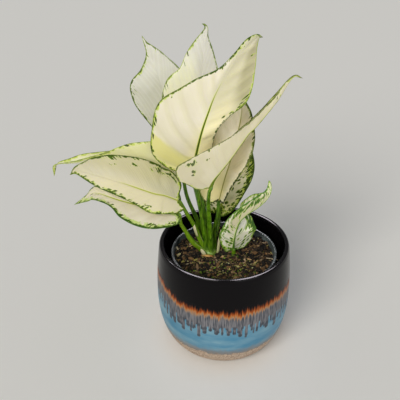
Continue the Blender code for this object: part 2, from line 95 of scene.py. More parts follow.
# %% Shapes of the leaves
LEAVES = {
    "leaf_back_left": dict(
        rib=((-58, 34, 241), (-61, 34, 264), (-66, 36, 293), (-74, 42, 316), (-81, 46, 331),
             (-84, 48, 339)),
        face=((-0.25, -0.85, 0.45),),
        left=((-5, 9), (12, 20), (36, 31), (54, 32), (66, 27), (74, 14), (87, 3)),
        right=((-5, 9), (8, 26), (36, 38), (60, 30), (76, 19), (88, 9), (97, 3)),
        fold_left=(10,),
        fold_right=(25, 25, 30)),
    "leaf_back_middle": dict(
        rib=((-37, 12, 242), (-30, 10, 276), (-25, 14, 310), (-23, 22, 333), (-21, 30, 349),
             (-22, 32, 353), (-25, 31, 355)),
        face=((-0.15, -0.9, 0.4),),
        left=((-6, 9), (4, 26), (34, 35), (60, 33), (74, 22), (88, 17), (102, 9), (113, 2)),
        right=((-6, 9), (4, 25), (34, 35), (66, 28), (84, 19), (100, 8), (113, 3)),
        fold_left=(10,),
        fold_right=(40, 45, 50)),
    "leaf_front_middle": dict(
        rib=((-34, -8, 216), (-30, -14, 240), (-25, -20, 265), (-19, -23, 286), (-12, -24, 306),
             (-1, -22, 326), (12, -15, 344), (24, -5, 352.5), (31, 3, 350)),
        face=((-0.3, -0.85, 0.45),),
        left=((-6, 14), (-3, 32), (10, 46), (36, 50), (64, 48), (92, 27), (114, 10), (134, 5),
              (152, 4)),
        right=((-3, 7), (0, 14), (16, 17), (40, 14), (62, 14), (82, 21), (102, 31), (117, 30),
               (134, 21), (149, 10), (160, 3)),
        fold_left=(12, 5, 10),
        fold_right=(-45, -35, 5, 20, 25)),
    "leaf_front_right": dict(
        rib=((-17, -25, 209), (-12, -28, 220), (2, -32, 242), (18, -32, 268), (26, -31, 277),
             (44, -25, 299), (55, -18, 315), (61, -14, 319), (68, -11, 316)),
        face=((-0.6, 0.6, 0.5),),
        left=((-6, 10), (-2, 26), (14, 32), (44, 26), (72, 15), (96, 11), (120, 7)),
        right=((-7, 8), (-3, 22), (4, 35), (13, 43), (25, 36), (42, 26), (64, 14), (88, 9),
               (110, 6), (128, 4)),
        fold_left=(45, 60, 85),
        fold_right=(35, 40, 40)),
    "leaf_right_upper": dict(
        rib=((-6, 6, 175), (-1, 5, 200), (5, 6, 223), (11, 10, 248), (15, 16, 272), (13, 24, 292)),
        face=((-0.05, -0.85, 0.5),),
        left=((-5, 8), (-1, 18), (22, 28), (52, 32), (76, 28), (94, 19), (108, 8)),
        right=((-1, 6), (6, 10), (26, 16), (44, 20), (62, 23), (80, 22), (96, 14), (108, 6)),
        fold_left=(15, 15, 20),
        fold_right=(65, 40, 30)),
    "leaf_right_lower": dict(
        rib=((-3, 28, 154), (5, 32, 180), (15, 38, 203), (21, 46, 223), (23, 54, 236)),
        face=((-0.05, -0.8, 0.6),),
        left=((-11, 5), (-8, 14), (1, 22), (14, 27), (30, 28), (46, 23), (66, 12)),
        right=((-11, 4), (-7, 10), (4, 16), (16, 19), (32, 22), (45, 22), (58, 18), (70, 11)),
        fold_left=(15, 15, 20),
        fold_right=(15, 15, 20)),
    "leaf_left_upper": dict(
        rib=((-48, 12, 201), (-79, 18, 202), (-114, 24, 206), (-145, 30, 207), (-167, 35, 204),
             (-184, 38, 200), (-188, 40, 185)),
        face=((0.0, 0.8, 0.6), (0.0, 0.5, 0.8), (0.0, 0.3, 0.95)),
        left=((-6, 10), (-2, 26), (20, 39), (50, 36), (80, 20), (108, 9), (130, 4)),
        right=((-6, 10), (-2, 26), (20, 36), (50, 31), (80, 25), (108, 14), (130, 6)),
        fold_left=(40, 38, 10),
        fold_right=(40, 45, 50)),
    "leaf_left_middle": dict(
        rib=((-49, -15, 187), (-62, -19, 195), (-74, -21, 199), (-100, -22, 210),
             (-126, -18, 217), (-149, -10, 219), (-159, -6, 212)),
        face=((-0.1, -0.6, 0.8),),
        left=((-8, 6), (-4, 12), (10, 18), (26, 20), (42, 16.5), (60, 14), (80, 12), (98, 8),
              (110, 4)),
        right=((-1, 8), (2, 20), (22, 30), (50, 31), (76, 26), (98, 17), (110, 7)),
        fold_left=(-8, -20, -20),
        fold_right=(5,)),
    "leaf_left_lower": dict(
        rib=((-51, -18, 174), (-78, -20, 181), (-108, -20, 190), (-132, -17, 197),
             (-143, -14, 190), (-157, -12, 180)),
        face=((-0.1, -0.45, 0.9),),
        left=((-5, 6), (-3, 13), (12, 22), (34, 25), (54, 20), (66, 11), (88, 8)),
        right=((-4, 10), (0, 24), (22, 34), (48, 32), (76, 15), (94, 5)),
        fold_left=(5,),
        fold_right=(5,)),
    "leaf_side_shoot": dict(
        rib=((10, 2, 113), (11, -4, 134), (13, -6, 146), (16, -7, 156), (24, -5, 164),
             (35, 0, 169), (45, 6, 176), (49, 9, 185), (46, 10, 197)),
        face=((-0.4, 0.8, 0.4),),
        left=((-3, 8), (0, 17), (8, 23), (18, 26), (32, 27), (48, 24), (62, 22), (76, 18),
              (91, 8)),
        right=((-2, 7), (4, 11), (14, 15), (27, 18), (42, 16), (56, 15), (66, 15), (86, 10),
               (98, 4)),
        fold_left=(0, 0, 60, 90, 90),
        fold_right=(10, 20, 30)),
}
print(len(LEAVES), "leaves")

# %% [markdown]
# The leaf stalks leave the short cane in the soil and pass these points.  A smooth curve through
# a few points bends like a real stalk and is easily moved.

# %% Routes of the leaf stalks
STALKS = {
    "leaf_back_left": ((-18, 12, 102), (-23, 18, 140), (-33, 26, 185), (-38, 30, 204)),
    "leaf_back_middle": ((-14, 12, 102), (-18, 15, 135), (-31, 17, 195)),
    "leaf_front_middle": ((-17, 6, 102), (-22, 4, 136), (-26, 0, 169), (-30, -5, 193)),
    "leaf_front_right": ((-14, 4, 102), (-15, 0, 130), (-17, -8, 162), (-18, -19, 190)),
    "leaf_right_upper": ((-10, 8, 102), (-10, 8, 138), (-7, 8, 156)),
    "leaf_right_lower": ((-13, 11, 102), (-10.5, 16, 115), (-7, 23, 127), (-5, 28.5, 139)),
    "leaf_left_upper": ((-20, 12, 102), (-28, 14, 140), (-41, 12, 178)),
    "leaf_left_middle": ((-19, 9, 102), (-28, 5, 129), (-32, 1, 144), (-40, -8, 166)),
    "leaf_left_lower": ((-21, 7, 102), (-26, 6, 112), (-33, 2, 121), (-42, -6, 143),
                        (-47, -12, 158)),
}
print(len(STALKS), "leaf stalks on the cane")

# %% [markdown]
# ## Camera
# The photograph was taken from above the front.  The ellipses of the two rims and the foot of the
# cover pot give the place, the lens and the pitch.  The camera looks along +Y and has no roll.

# %% Camera
CAMERA_PLACE = (-0.0265, -0.5426, 0.5046)
CAMERA_PITCH = 31.0
CAMERA_LENS = 54.0
CAMERA_SENSOR = 36.0

camera_data = bpy.data.cameras.new("camera")
camera_data.lens = CAMERA_LENS
camera_data.sensor_width = CAMERA_SENSOR
camera_data.clip_start = 0.02
camera = bpy.data.objects.new("camera", camera_data)
camera.location = CAMERA_PLACE
camera.rotation_euler = (math.radians(90.0 - CAMERA_PITCH), 0.0, 0.0)
bpy.context.scene.collection.objects.link(camera)
bpy.context.scene.camera = camera
print("camera at", CAMERA_PLACE, "lens", CAMERA_LENS)

# %% [markdown]
# ## Helpers
# A hex colour becomes the linear colour that shaders use.  One function adds a shader node: the
# first word of its kind names the node, the second sets its main option, and the values go to its
# inputs in order.  So a Map Range takes a value, the ends of its range and the ends of the result,
# a Mix takes a mask, what lies under and what lies over, and a Noise takes a place, a scale (marks
# per unit of that place), a detail and a roughness.

# %% Colours and shader nodes
MAIN_OPTION = {"Math": "operation", "VectorMath": "operation", "Mix": "data_type",
               "MapRange": "interpolation_type", "Attribute": "attribute_name",
               "TexWhiteNoise": "noise_dimensions", "TexVoronoi": "voronoi_dimensions"}


def colour(code):
    """Linear colour from an sRGB hex code."""
    channels = [int(code[k:k + 2], 16) / 255 for k in (1, 3, 5)]
    linear = [c / 12.92 if c <= 0.04045 else ((c + 0.055) / 1.055) ** 2.4 for c in channels]
    return (*linear, 1.0)


def fill(node, *values, **named):
    """Set or link inputs of a node, by place among those in use or by name."""
    usable = [socket for socket in node.inputs if socket.enabled]
    by_name = {socket.name.replace(" ", "_"): socket for socket in usable}
    pairs = [*zip(usable, values), *((by_name[key], value) for key, value in named.items())]
    for socket, value in pairs:
        if isinstance(value, bpy.types.NodeSocket):
            node.id_data.links.new(value, socket)
        else:
            socket.default_value = colour(value) if isinstance(value, str) else value


def add(tree, kind, *values, output=None, stops=(), **named):
    """Add a shader node and return an output; stops are the places and colours of a ramp."""
    kind, _, main = kind.partition(" ")
    made = tree.nodes.new("ShaderNode" + kind)
    if main:
        setattr(made, MAIN_OPTION[kind], main)
    fill(made, *values, **named)
    for _ in stops[2:]:
        made.color_ramp.elements.new(0.5)
    for k, (place, shade) in enumerate(stops):
        made.color_ramp.elements[k].position = place
        made.color_ramp.elements[k].color = colour(shade) if isinstance(shade, str) else shade
    return next(socket for socket in made.outputs
                if (socket.name == output if output else socket.enabled))


print("mid grey, #808080, in linear light:", round(colour("#808080")[0], 3))

# %% [markdown]
# Most finishes here are layers of colour, each seen through a mask, and sums of noises.  Both
# repeat in every material, so each has a function of its own.

# %% Layers, sums and materials
def paint(tree, surface, *layers):
    """A surface with colours laid over it one by one, each as (mask, colour)."""
    for mask, over in layers:
        surface = add(tree, "Mix RGBA", mask, surface, over)
    return surface


def raised(tree, value, *parts):
    """A value raised by other values, each as (value, weight); (1.0, w) moves it by w."""
    for part, weight in parts:
        value = add(tree, "Math MULTIPLY_ADD", part, weight, value)
    return value


def new_material(name, **inputs):
    """A material with a Principled shader; inputs are constants of it."""
    mat = bpy.data.materials.new(name)
    mat.use_nodes = True
    shader = mat.node_tree.nodes["Principled BSDF"]
    fill(shader, **inputs)
    return mat, mat.node_tree, shader


print("helpers for layers of colour, sums of noises and materials are ready")

# %% [markdown]
# Most pieces are tubes: rings of points with quads between them, which bmesh could bridge too, but
# known places in the list let every point carry numbers.  A material reads those numbers, such as
# the distance from the edge of a leaf, as attributes.

# %% Meshes and faces
def mesh_object(name, points, faces, mat, attributes=None, smooth=True):
    """An object from points in millimetres, with attributes on its points."""
    mesh = bpy.data.meshes.new(name)
    mesh.from_pydata(np.asarray(points, dtype=float) * MM, [], faces)
    for key, values in (attributes or {}).items():
        layer = mesh.attributes.new(key, "FLOAT", "POINT")
        layer.data.foreach_set("value", np.asarray(values, dtype=np.float32))
    mesh.materials.append(mat)
    if smooth:
        mesh.shade_smooth()
    mesh.validate()
    obj = bpy.data.objects.new(name, mesh)
    bpy.context.scene.collection.objects.link(obj)
    return obj


def ride(obj, slot, *nodes):
    """Fix a piece to the root body and hide the CAD nodes that it stands for; slot is not used."""
    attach(obj, "root")
    if nodes:
        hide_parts(*nodes)


def circle(radius, z, sides, middle=(0.0, 0.0)):
    """Points of a level circle, in which each point may have a radius of its own."""
    turn = np.linspace(0.0, 2.0 * math.pi, sides, endpoint=False)
    return np.stack([middle[0] + radius * np.cos(turn), middle[1] + radius * np.sin(turn),
                     np.full(sides, z)], axis=1)


def tube_faces(rings, sides, start=0, caps=True):
    """Faces between rings of points that lie one after another, with a cap at each end."""
    faces = []
    for low in range(start, start + (rings - 1) * sides, sides):
        for m in range(sides):
            after = (m + 1) % sides
            faces.append((low + m, low + after, low + sides + after, low + sides + m))
    if caps:
        faces.append(tuple(start + m for m in reversed(range(sides))))
        faces.append(tuple(start + (rings - 1) * sides + m for m in range(sides)))
    return faces


def sheet_faces(rows, columns, ends=True):
    """Faces of a thin sheet of points in rows, the upper side first and then the lower one."""
    count = rows * columns
    faces = []
    for i in range(rows - 1):
        for j in range(columns - 1):
            a = i * columns + j
            corners = (a, a + 1, a + columns + 1, a + columns)
            faces.append(corners)
            faces.append(tuple(c + count for c in corners[::-1]))
        for a, turn in ((i * columns, 1), ((i + 1) * columns - 1, -1)):
            faces.append((a, a + columns, a + columns + count, a + count)[::turn])
    for i in (0, rows - 1) if ends else ():
        for a in range(i * columns, (i + 1) * columns - 1):
            faces.append((a, a + 1, a + 1 + count, a + count))
    return faces


def turned(name, profile, sides, mat, attributes=None):
    """A surface of revolution from a list of (radius, height) that starts and ends on the axis."""
    points = np.concatenate([circle(radius, z, sides) for radius, z in profile[1:-1]])
    first = len(points)
    last = first - sides
    points = np.vstack([points, [(0, 0, profile[0][1]), (0, 0, profile[-1][1])]])
    faces = tube_faces(len(profile) - 2, sides, caps=False)
    for m in range(sides):
        after = (m + 1) % sides
        faces.append((first, after, m))
        faces.append((last + m, last + after, first + 1))
    return mesh_object(name, points, faces, mat, attributes)


def cleaned(obj, merge=0.0):
    """The object with near points merged and all faces looking outward."""
    work = bmesh.new()
    work.from_mesh(obj.data)
    if merge:
        bmesh.ops.remove_doubles(work, verts=work.verts, dist=merge)
        bmesh.ops.dissolve_degenerate(work, edges=work.edges, dist=merge / 4.0)
    bmesh.ops.recalc_face_normals(work, faces=work.faces)
    work.to_mesh(obj.data)
    work.free()
    obj.data.shade_smooth()
    return obj


print("a closed tube of 3 rings of 8 points:", len(tube_faces(3, 8)), "faces")

# %% [markdown]
# Ribs, outlines and stalks are smooth curves through a few given points.  Blender's curves could
# draw them, but the points between are needed as numbers, so each stretch is a cubic that leaves
# and meets its ends in step with its neighbours.

# %% Smooth curves
def smooth_curve(points, count, spread=0.0):
    """Points along a smooth curve; a spread of 1 shares them by length."""
    given = np.array(points, dtype=float)
    gaps = np.linalg.norm(np.diff(given, axis=0), axis=1) ** spread
    knots = np.concatenate([[0.0], np.cumsum(gaps)])
    slopes = np.diff(given, axis=0) / gaps[:, None]
    weight = (gaps[1:] / (gaps[:-1] + gaps[1:]))[:, None]
    inner = slopes[:-1] * weight + slopes[1:] * (1.0 - weight)
    slopes = np.vstack([slopes[:1], inner, slopes[-1:]])
    place = np.linspace(0.0, knots[-1], count)
    index = np.clip(np.searchsorted(knots, place, side="right") - 1, 0, len(gaps) - 1)
    width = gaps[index][:, None]
    t = (place - knots[index])[:, None] / width
    start = (2 * t ** 3 - 3 * t ** 2 + 1) * given[index]
    leave = (t ** 3 - 2 * t ** 2 + t) * width * slopes[index]
    end = (3 * t ** 2 - 2 * t ** 3) * given[index + 1]
    arrive = (t ** 3 - t ** 2) * width * slopes[index + 1]
    return start + leave + end + arrive


def unit(vectors):
    """Vectors scaled to a length of one."""
    return vectors / np.maximum(np.linalg.norm(vectors, axis=-1, keepdims=True), 1e-9)


print("a bend through 3 points:", smooth_curve(((0, 0), (10, 5), (20, 0)), 5).tolist())

# %% [markdown]
# ## Reactive glaze
# Stoneware dipped twice: a glossy black glaze from the rim down, over a satin blue one.  Where the
# black runs out it breaks to rust orange and tan, then to grey streaks that run down the wall in
# narrow drips with round, darker ends.  The foot is bare tan clay.  A picture could be wrapped
# around the pot, but bands by height, torn by noise, have no seam and stay sharp.

# %% Places and noises on the pot
def glaze_marks(tree):
    """Heights and turns on the pot and noises over it, by name."""
    place = add(tree, "TexCoord", output="Object")
    axes = add(tree, "SeparateXYZ", place).node.outputs
    turns = add(tree, "Math ARCTAN2", axes[1], axes[0])
    at = {"height": add(tree, "Math MULTIPLY", axes[2], 1.0 / MM),
          "turns": add(tree, "Math MULTIPLY", turns, 0.5 / math.pi),
          "inner": add(tree, "Attribute inner", output="Fac")}
    streak_place = add(tree, "Mapping", place, Scale=(1.0, 1.0, 0.08))
    band_place = add(tree, "Mapping", place, Scale=(0.3, 0.3, 1.0))
    # marks per metre: streaks 1.2 mm apart, licks 4 mm, clouds 11 mm, waves 50 mm, torn edges
    # 5 mm, and grains of sand, finer in the real clay, 0.9 mm so that they show
    at["streak"] = add(tree, "TexNoise", streak_place, 850.0, 3.0)
    at["lick"] = add(tree, "TexNoise", streak_place, 260.0, 2.0)
    at["cloud"] = add(tree, "TexNoise", band_place, 95.0, 3.0)
    at["grain"] = add(tree, "TexNoise", place, 1100.0, 4.0)
    at["ragged"] = add(tree, "TexNoise", place, 190.0, 4.0)
    wave = add(tree, "TexNoise", place, 20.0, 1.0)
    # where the glaze has run far down, a point counts as higher up than it is
    leftness = add(tree, "MapRange SMOOTHSTEP", axes[0], -0.045, -0.075, 0.0, -9.0)
    at["upper"] = raised(tree, -4.5, (wave, 9.0), (leftness, 1.0), (at["height"], 1.0))
    return at


print("round the pot:", round(2.0 * math.pi * POT_BELLY_R), "mm at the belly")

# %% [markdown]
# The streaks start as one sheet below the rust and end in drips.  The wall is divided into narrow
# lanes, in one set for the wide drips and one for the thin, and each lane has a drip of its own
# length and width.  Lanes of one width would look like a comb, so they sway on their way down.

# %% Drips
STREAK_END = 68.0
WALL_ROUND = 2.0 * math.pi * POT_RIM_R
# wide and thin drips: lanes around the wall, height and spread of their ends, half widths in mm
DRIPS = ((74, 58.0, 5.5, (1.0, 2.2)), (109, 62.5, 6.0, (0.7, 1.4)))


def drips(tree, turns, height, lanes, end, spread, widths):
    """Capsule-shaped drips in lanes around the wall: signed distance to them and to their ends."""
    lane = add(tree, "Math MULTIPLY_ADD", turns, float(lanes), 0.37 * lanes)
    number = add(tree, "Math FLOOR", lane)
    chance = add(tree, "TexWhiteNoise 1D", number, output="Value")
    other = add(tree, "Math ADD", number, 0.5)
    other = add(tree, "TexWhiteNoise 1D", other, output="Value")
    side = add(tree, "Math FRACT", lane)
    side = add(tree, "Math SUBTRACT", side, 0.5)
    side = add(tree, "Math MULTIPLY", side, WALL_ROUND / lanes)
    radius = add(tree, "MapRange", other, 0.0, 1.0, widths[0], widths[1])
    tip = add(tree, "MapRange", chance, 0.0, 1.0, end - spread, end + spread)
    below = add(tree, "Math SUBTRACT", tip, height)
    beyond = add(tree, "Math MAXIMUM", below, 0.0)
    flat = add(tree, "CombineXYZ", side, beyond, 0.0)
    gap = add(tree, "VectorMath LENGTH", flat, output="Value")
    gap = add(tree, "Math SUBTRACT", gap, radius)
    to_tip = add(tree, "Math ABSOLUTE", below)
    return gap, to_tip


def all_drips(tree, at):
    """Distance to the nearest grey glaze, the mask of it and the mask of its dark ends."""
    sway = add(tree, "Math MULTIPLY_ADD", at["ragged"], 0.003, at["turns"])
    gaps, tips = zip(*(drips(tree, sway, at["upper"], *kind) for kind in DRIPS))
    gap = add(tree, "Math MINIMUM", *gaps)
    sheet = add(tree, "Math MULTIPLY_ADD", at["lick"], 10.0, at["upper"])
    sheet = add(tree, "Math SUBTRACT", STREAK_END + 5.0, sheet)
    gap = add(tree, "Math MINIMUM", gap, sheet)
    tip = add(tree, "Math MINIMUM", *tips)
    tip = add(tree, "MapRange SMOOTHSTEP", tip, 3.6, 0.6, 0.0, 0.75)
    return gap, add(tree, "MapRange SMOOTHSTEP", gap, 0.35, -0.25), tip


print("drips in lanes of", [round(WALL_ROUND / kind[0], 1) for kind in DRIPS], "mm")

# %% [markdown]
# The rust is where the black glaze runs thin, and the clay is where no glaze reached.  Both have
# torn edges, so each is found by a height that the noises have moved up and down.

# %% Rust and clay
BLACK_END = 90.5
RUST_DEPTH = 13.0
CLAY_TOP = 25.0
RUST_COLOURS = ((0.0, "#77706f"), (0.24, "#8f7a68"), (0.42, "#a9713f"), (0.56, "#9a4a1b"),
                (0.76, "#4f240f"), (0.90, "#170d0a"))


def rust_place(tree, at):
    """Place in the band from grey through rust to black; the inside counts as high above it."""
    torn = raised(tree, at["upper"], (at["streak"], 16.0), (at["lick"], 9.0), (1.0, -12.5),
                  (at["inner"], 200.0))
    return add(tree, "MapRange", torn, BLACK_END - RUST_DEPTH, BLACK_END + 1.5)


def clay_masks(tree, at):
    """Masks of the bare clay at the foot and of the thin glaze above it."""
    edge = raised(tree, at["height"], (at["ragged"], 11.0), (at["grain"], 4.0), (1.0, -7.5))
    clay = add(tree, "MapRange SMOOTHSTEP", edge, CLAY_TOP + 0.8, CLAY_TOP - 0.8)
    fringe = add(tree, "MapRange SMOOTHSTEP", edge, CLAY_TOP + 12.0, CLAY_TOP + 0.5, 0.0, 0.9)
    outside = add(tree, "Math SUBTRACT", 1.0, at["inner"])
    return add(tree, "Math MULTIPLY", clay, outside), fringe


print("glaze from", CLAY_TOP, "mm up, and black from", BLACK_END, "mm up")

# %% [markdown]
# Fired glaze is glassy: the black mirrors the room, the blue and the streaks have a satin sheen
# and the bare clay none.  The glaze also stands up a little, in round runs over the blue.

# %% Stoneware material
def stoneware():
    """Black, rust, grey and blue glaze over tan clay, by height above the foot."""
    mat, tree, shader = new_material("reactive_glaze_stoneware", Specular_IOR_Level=0.12)
    at = glaze_marks(tree)
    gap, drip, tip = all_drips(tree, at)
    clay, fringe = clay_masks(tree, at)
    band = rust_place(tree, at)
    # colours from the foot upwards
    bare = add(tree, "ValToRGB", at["grain"], stops=((0.36, "#6c574a"), (0.6, "#ccb8a2")))
    blue = add(tree, "ValToRGB", at["cloud"], stops=((0.34, "#457e9b"), (0.7, "#769cab")))
    grey = add(tree, "ValToRGB", at["streak"], stops=((0.38, "#40444b"), (0.6, "#78777a")))
    grey = paint(tree, grey, (tip, "#39414a"))
    rust = add(tree, "ValToRGB", band, stops=RUST_COLOURS)
    rust_mask = add(tree, "MapRange SMOOTHSTEP", band, 0.02, 0.3)
    black = add(tree, "MapRange SMOOTHSTEP", band, 0.86, 0.98)
    surface = paint(tree, blue, (fringe, "#7d7872"), (drip, grey), (rust_mask, rust),
                    (black, "#0a080a"), (clay, bare))
    # gloss: bright black, satin streaks and blue, matte clay
    gloss = add(tree, "MapRange", black, 0.0, 1.0, 0.38, 0.16)
    gloss = add(tree, "Mix", clay, gloss, 0.85)
    # relief
    thick = add(tree, "MapRange SMOOTHSTEP", gap, 0.4, -1.2, 0.0, 0.7)
    rough_grain = raised(tree, 0.03, (clay, 0.35))
    thick = raised(tree, thick, (clay, -1.0), (band, 0.5), (at["grain"], rough_grain))
    relief = add(tree, "Bump", Strength=0.7, Distance=0.0004, Height=thick)
    fill(shader, Base_Color=surface, Roughness=gloss, Normal=relief)
    return mat


STONEWARE = stoneware()
print("stoneware:", len(STONEWARE.node_tree.nodes), "nodes")

# %% [markdown]
# ## Cover pot
# A thrown pot: the wall swells from the foot to the belly and draws in to a soft round lip.  A
# Screw modifier could turn the profile, but rings made here can carry a mark for the inside,
# which is glazed black all over.

# %% Cover pot
POT_SIDES = 192
INSIDE_RINGS = 33


def pot_radius(z):
    """Outer radius of the cover pot at a height."""
    if z < POT_BELLY_Z:
        share = z / POT_BELLY_Z
        swell = (1.0 - (1.0 - share) ** POT_SWELL_UP) ** (1.0 / POT_SWELL_OUT)
        return POT_FOOT_R + (POT_BELLY_R - POT_FOOT_R) * swell
    share = (z - POT_BELLY_Z) / (POT_HEIGHT - POT_BELLY_Z)
    return POT_BELLY_R + (POT_RIM_R - POT_BELLY_R) * share ** 2


def make_cover_pot(mat):
    """The cover pot as one fine turned surface."""
    profile = [(0.0, 0.6), (POT_FOOT_R - 8.0, 0.6), (POT_FOOT_R - 6.5, 0.0),
               (POT_FOOT_R - 1.5, 0.0), (POT_FOOT_R, 0.4), (POT_FOOT_R + 1.2, 1.3)]
    profile += [(pot_radius(z), z) for z in np.linspace(2.2, POT_BELLY_Z, 40)]
    profile += [(pot_radius(z), z)
                for z in np.linspace(POT_BELLY_Z + 2.0, POT_HEIGHT - POT_LIP_R - 1.0, 24)]
    for turn in np.linspace(0.0, math.pi, 13):
        profile.append((POT_RIM_R - POT_LIP_R + POT_LIP_R * math.cos(turn),
                        POT_HEIGHT - POT_LIP_R + POT_LIP_R * math.sin(turn)))
    profile += [(pot_radius(z) - POT_WALL, z)
                for z in np.linspace(POT_HEIGHT - POT_LIP_R - 2.0, 16.0, 30)]
    profile += [(POT_FOOT_R - 1.0, POT_FLOOR + 3.0), (POT_FOOT_R - 5.0, POT_FLOOR),
                (0.0, POT_FLOOR)]
    inner = np.zeros(len(profile) - 2)
    inner[-INSIDE_RINGS:] = 1.0
    inner = np.append(np.repeat(inner, POT_SIDES), (0.0, 1.0))
    return turned("glazed_cover_pot", profile, POT_SIDES, mat, {"inner": inner})


cover_pot = make_cover_pot(STONEWARE)
ride(cover_pot, "black_and_blue_glazed_stoneware", "cover_pot")
print("cover pot:", len(cover_pot.data.polygons), "faces")

# %% [markdown]
# ## Nursery pot
# Blow-moulded polypropylene in a dark grey-green: thin, with a turned-out lip.  The mould leaves a
# satin skin with faint lines around it, and dust from the soil lightens it in clouds.  It is turned
# like the cover pot, because a cylinder with a modifier would hide its sizes.

# %% Plastic material
def plastic():
    """Blow-moulded plastic: satin, dusty and a little uneven."""
    mat, tree, shader = new_material("dark_green_plastic", Specular_IOR_Level=0.16)
    place = add(tree, "TexCoord", output="Object")
    # clouds of dust 14 mm wide; moulding lines 2 mm apart, coarser than real ones so that they show
    dust = add(tree, "TexNoise", place, 70.0, 5.0)
    tint = add(tree, "ValToRGB", dust, stops=((0.35, "#2a3333"), (0.66, "#5d6967")))
    rough = add(tree, "MapRange", dust, 0.3, 0.7, 0.26, 0.55)
    lines = add(tree, "Mapping", place, Scale=(0.05, 0.05, 1.0))
    moulding = add(tree, "TexNoise", lines, 500.0, 1.0)
    relief = add(tree, "Bump", Strength=0.25, Distance=0.0002, Height=moulding)
    fill(shader, Base_Color=tint, Roughness=rough, Normal=relief)
    return mat


PLASTIC = plastic()
print("plastic:", len(PLASTIC.node_tree.nodes), "nodes")

# %% [markdown]
# The nursery pot stands on the floor of the cover pot and tapers to its foot.  Its lip is a thick
# roll that catches the light.  A Bevel modifier would round every edge alike, so the profile goes
# around the roll in small steps instead.

# %% Nursery pot
NURSERY_SIDES = 128


def nursery_radius(z):
    """Outer radius of the nursery pot's wall at a height."""
    share = (z - POT_FLOOR) / (NURSERY_TOP_Z - POT_FLOOR)
    return NURSERY_FOOT_R + (NURSERY_RIM_R - NURSERY_LIP - NURSERY_FOOT_R) * share


def make_nursery_pot(mat):
    """Tapered pot with a rolled lip, standing on the floor of the cover pot."""
    foot_z = POT_FLOOR + GAP
    floor_z = foot_z + 4.4
    lip_z = NURSERY_TOP_Z - NURSERY_LIP_DROP
    inner_top = nursery_radius(NURSERY_TOP_Z) - NURSERY_WALL
    profile = [(0.0, foot_z + 3.0), (NURSERY_FOOT_R - 5.0, foot_z + 3.0),
               (NURSERY_FOOT_R - 4.0, foot_z), (NURSERY_FOOT_R - 0.6, foot_z),
               (NURSERY_FOOT_R, foot_z + 0.6)]
    profile += [(nursery_radius(z), z) for z in np.linspace(20.0, lip_z - 0.4, 12)]
    profile += [(nursery_radius(lip_z) + 0.3, lip_z), (NURSERY_RIM_R - 0.5, lip_z),
                (NURSERY_RIM_R, lip_z + 0.5), (NURSERY_RIM_R, NURSERY_TOP_Z - 1.0)]
    middle = 0.5 * (NURSERY_RIM_R + inner_top)
    half = 0.5 * (NURSERY_RIM_R - inner_top)
    profile += [(middle + half * math.cos(angle), NURSERY_TOP_Z - 1.0 + math.sin(angle))
                for angle in np.radians(np.linspace(20, 160, 6))]
    profile.append((inner_top, NURSERY_TOP_Z - 1.6))
    profile += [(nursery_radius(z) - NURSERY_WALL, z)
                for z in np.linspace(NURSERY_TOP_Z - 4.0, floor_z + 1.0, 10)]
    profile += [(nursery_radius(floor_z) - NURSERY_WALL - 1.0, floor_z), (0.0, floor_z)]
    return turned("plastic_nursery_pot", profile, NURSERY_SIDES, mat)


nursery_pot = make_nursery_pot(PLASTIC)
ride(nursery_pot, "dark_green_plastic", "nursery_pot")
print("nursery pot:", len(nursery_pot.data.polygons), "faces")

# %% [markdown]
# ## Soil
# Damp coir and bark, matt.  The bed under the loose bits is nearly black: dark as damp soil is, and
# darker still as painted shade for the gaps between the bits.  A bumpy texture alone looks flat
# from above, so a lumpy sheet carries real bits: bark chips, coir fibres, crumbs, green moss at the
# front and pale husks.  Each bit has a tint of its own, and one function makes all the materials.

# %% Soil materials
def bits_material(name, dark, light, roughness, grain_scale=900.0):
    """A rough material whose colour runs from dark to light with each bit's tint and grain."""
    mat, tree, shader = new_material(name, Roughness=roughness)
    place = add(tree, "TexCoord", output="Object")
    # marks per metre: grains 1.1 mm wide, and 2.4 mm in the bed, coarser than real ones so that
    # they show
    grain = add(tree, "TexNoise", place, grain_scale, 4.0)
    tint = add(tree, "Attribute tint", output="Fac")
    mixed = add(tree, "Math MULTIPLY_ADD", grain, 0.8, -0.4)
    varied = add(tree, "Math POWER", tint, 2.0)
    mixed = add(tree, "Math ADD", mixed, varied)
    shade = add(tree, "ValToRGB", mixed, stops=((0.0, dark), (1.0, light)))
    relief = add(tree, "Bump", Strength=0.7, Distance=0.0004, Height=grain)
    fill(shader, Base_Color=shade, Normal=relief)
    return mat


# the bed is nearly black: damp soil, and painted shade in the gaps between the bits
SOIL_BED = bits_material("damp_coir_bed", "#040302", "#120e07", 0.95, 420.0)
BARK = bits_material("bark_chips", "#170c06", "#c9a374", 0.75)
COIR = bits_material("coir_fibres", "#2a1d0e", "#a68a58", 0.8)
CRUMBS = bits_material("soil_crumbs", "#050301", "#7c5c38", 0.95)
MOSS = bits_material("moss", "#0a1002", "#84a428", 0.9)
HUSKS = bits_material("pale_husks", "#a09648", "#f6f4c8", 0.65)
FLAKES = bits_material("bark_flakes", "#8d6c48", "#f0e4c2", 0.7)
print("soil materials made")

# %% [markdown]
# The bed fills the nursery pot like a plug.  Sculpting or a Displace modifier could make its top,
# but a few sine waves are enough and tell every loose bit how high the soil is below it.

# %% Soil bed
SOIL_RINGS = 46


def lump(x, y):
    """Height of the soil surface above its level, in millimetres."""
    value = 1.1 * np.sin(0.19 * x + 1.0) * np.cos(0.23 * y - 0.4)
    value = value + 0.8 * np.sin(0.37 * x - 0.31 * y + 2.1)
    value = value + 0.8 * np.cos(0.9 * x + 0.3) * np.sin(0.83 * y + 0.6)
    return value + 0.4 * np.sin(1.9 * x + 1.3 * y)


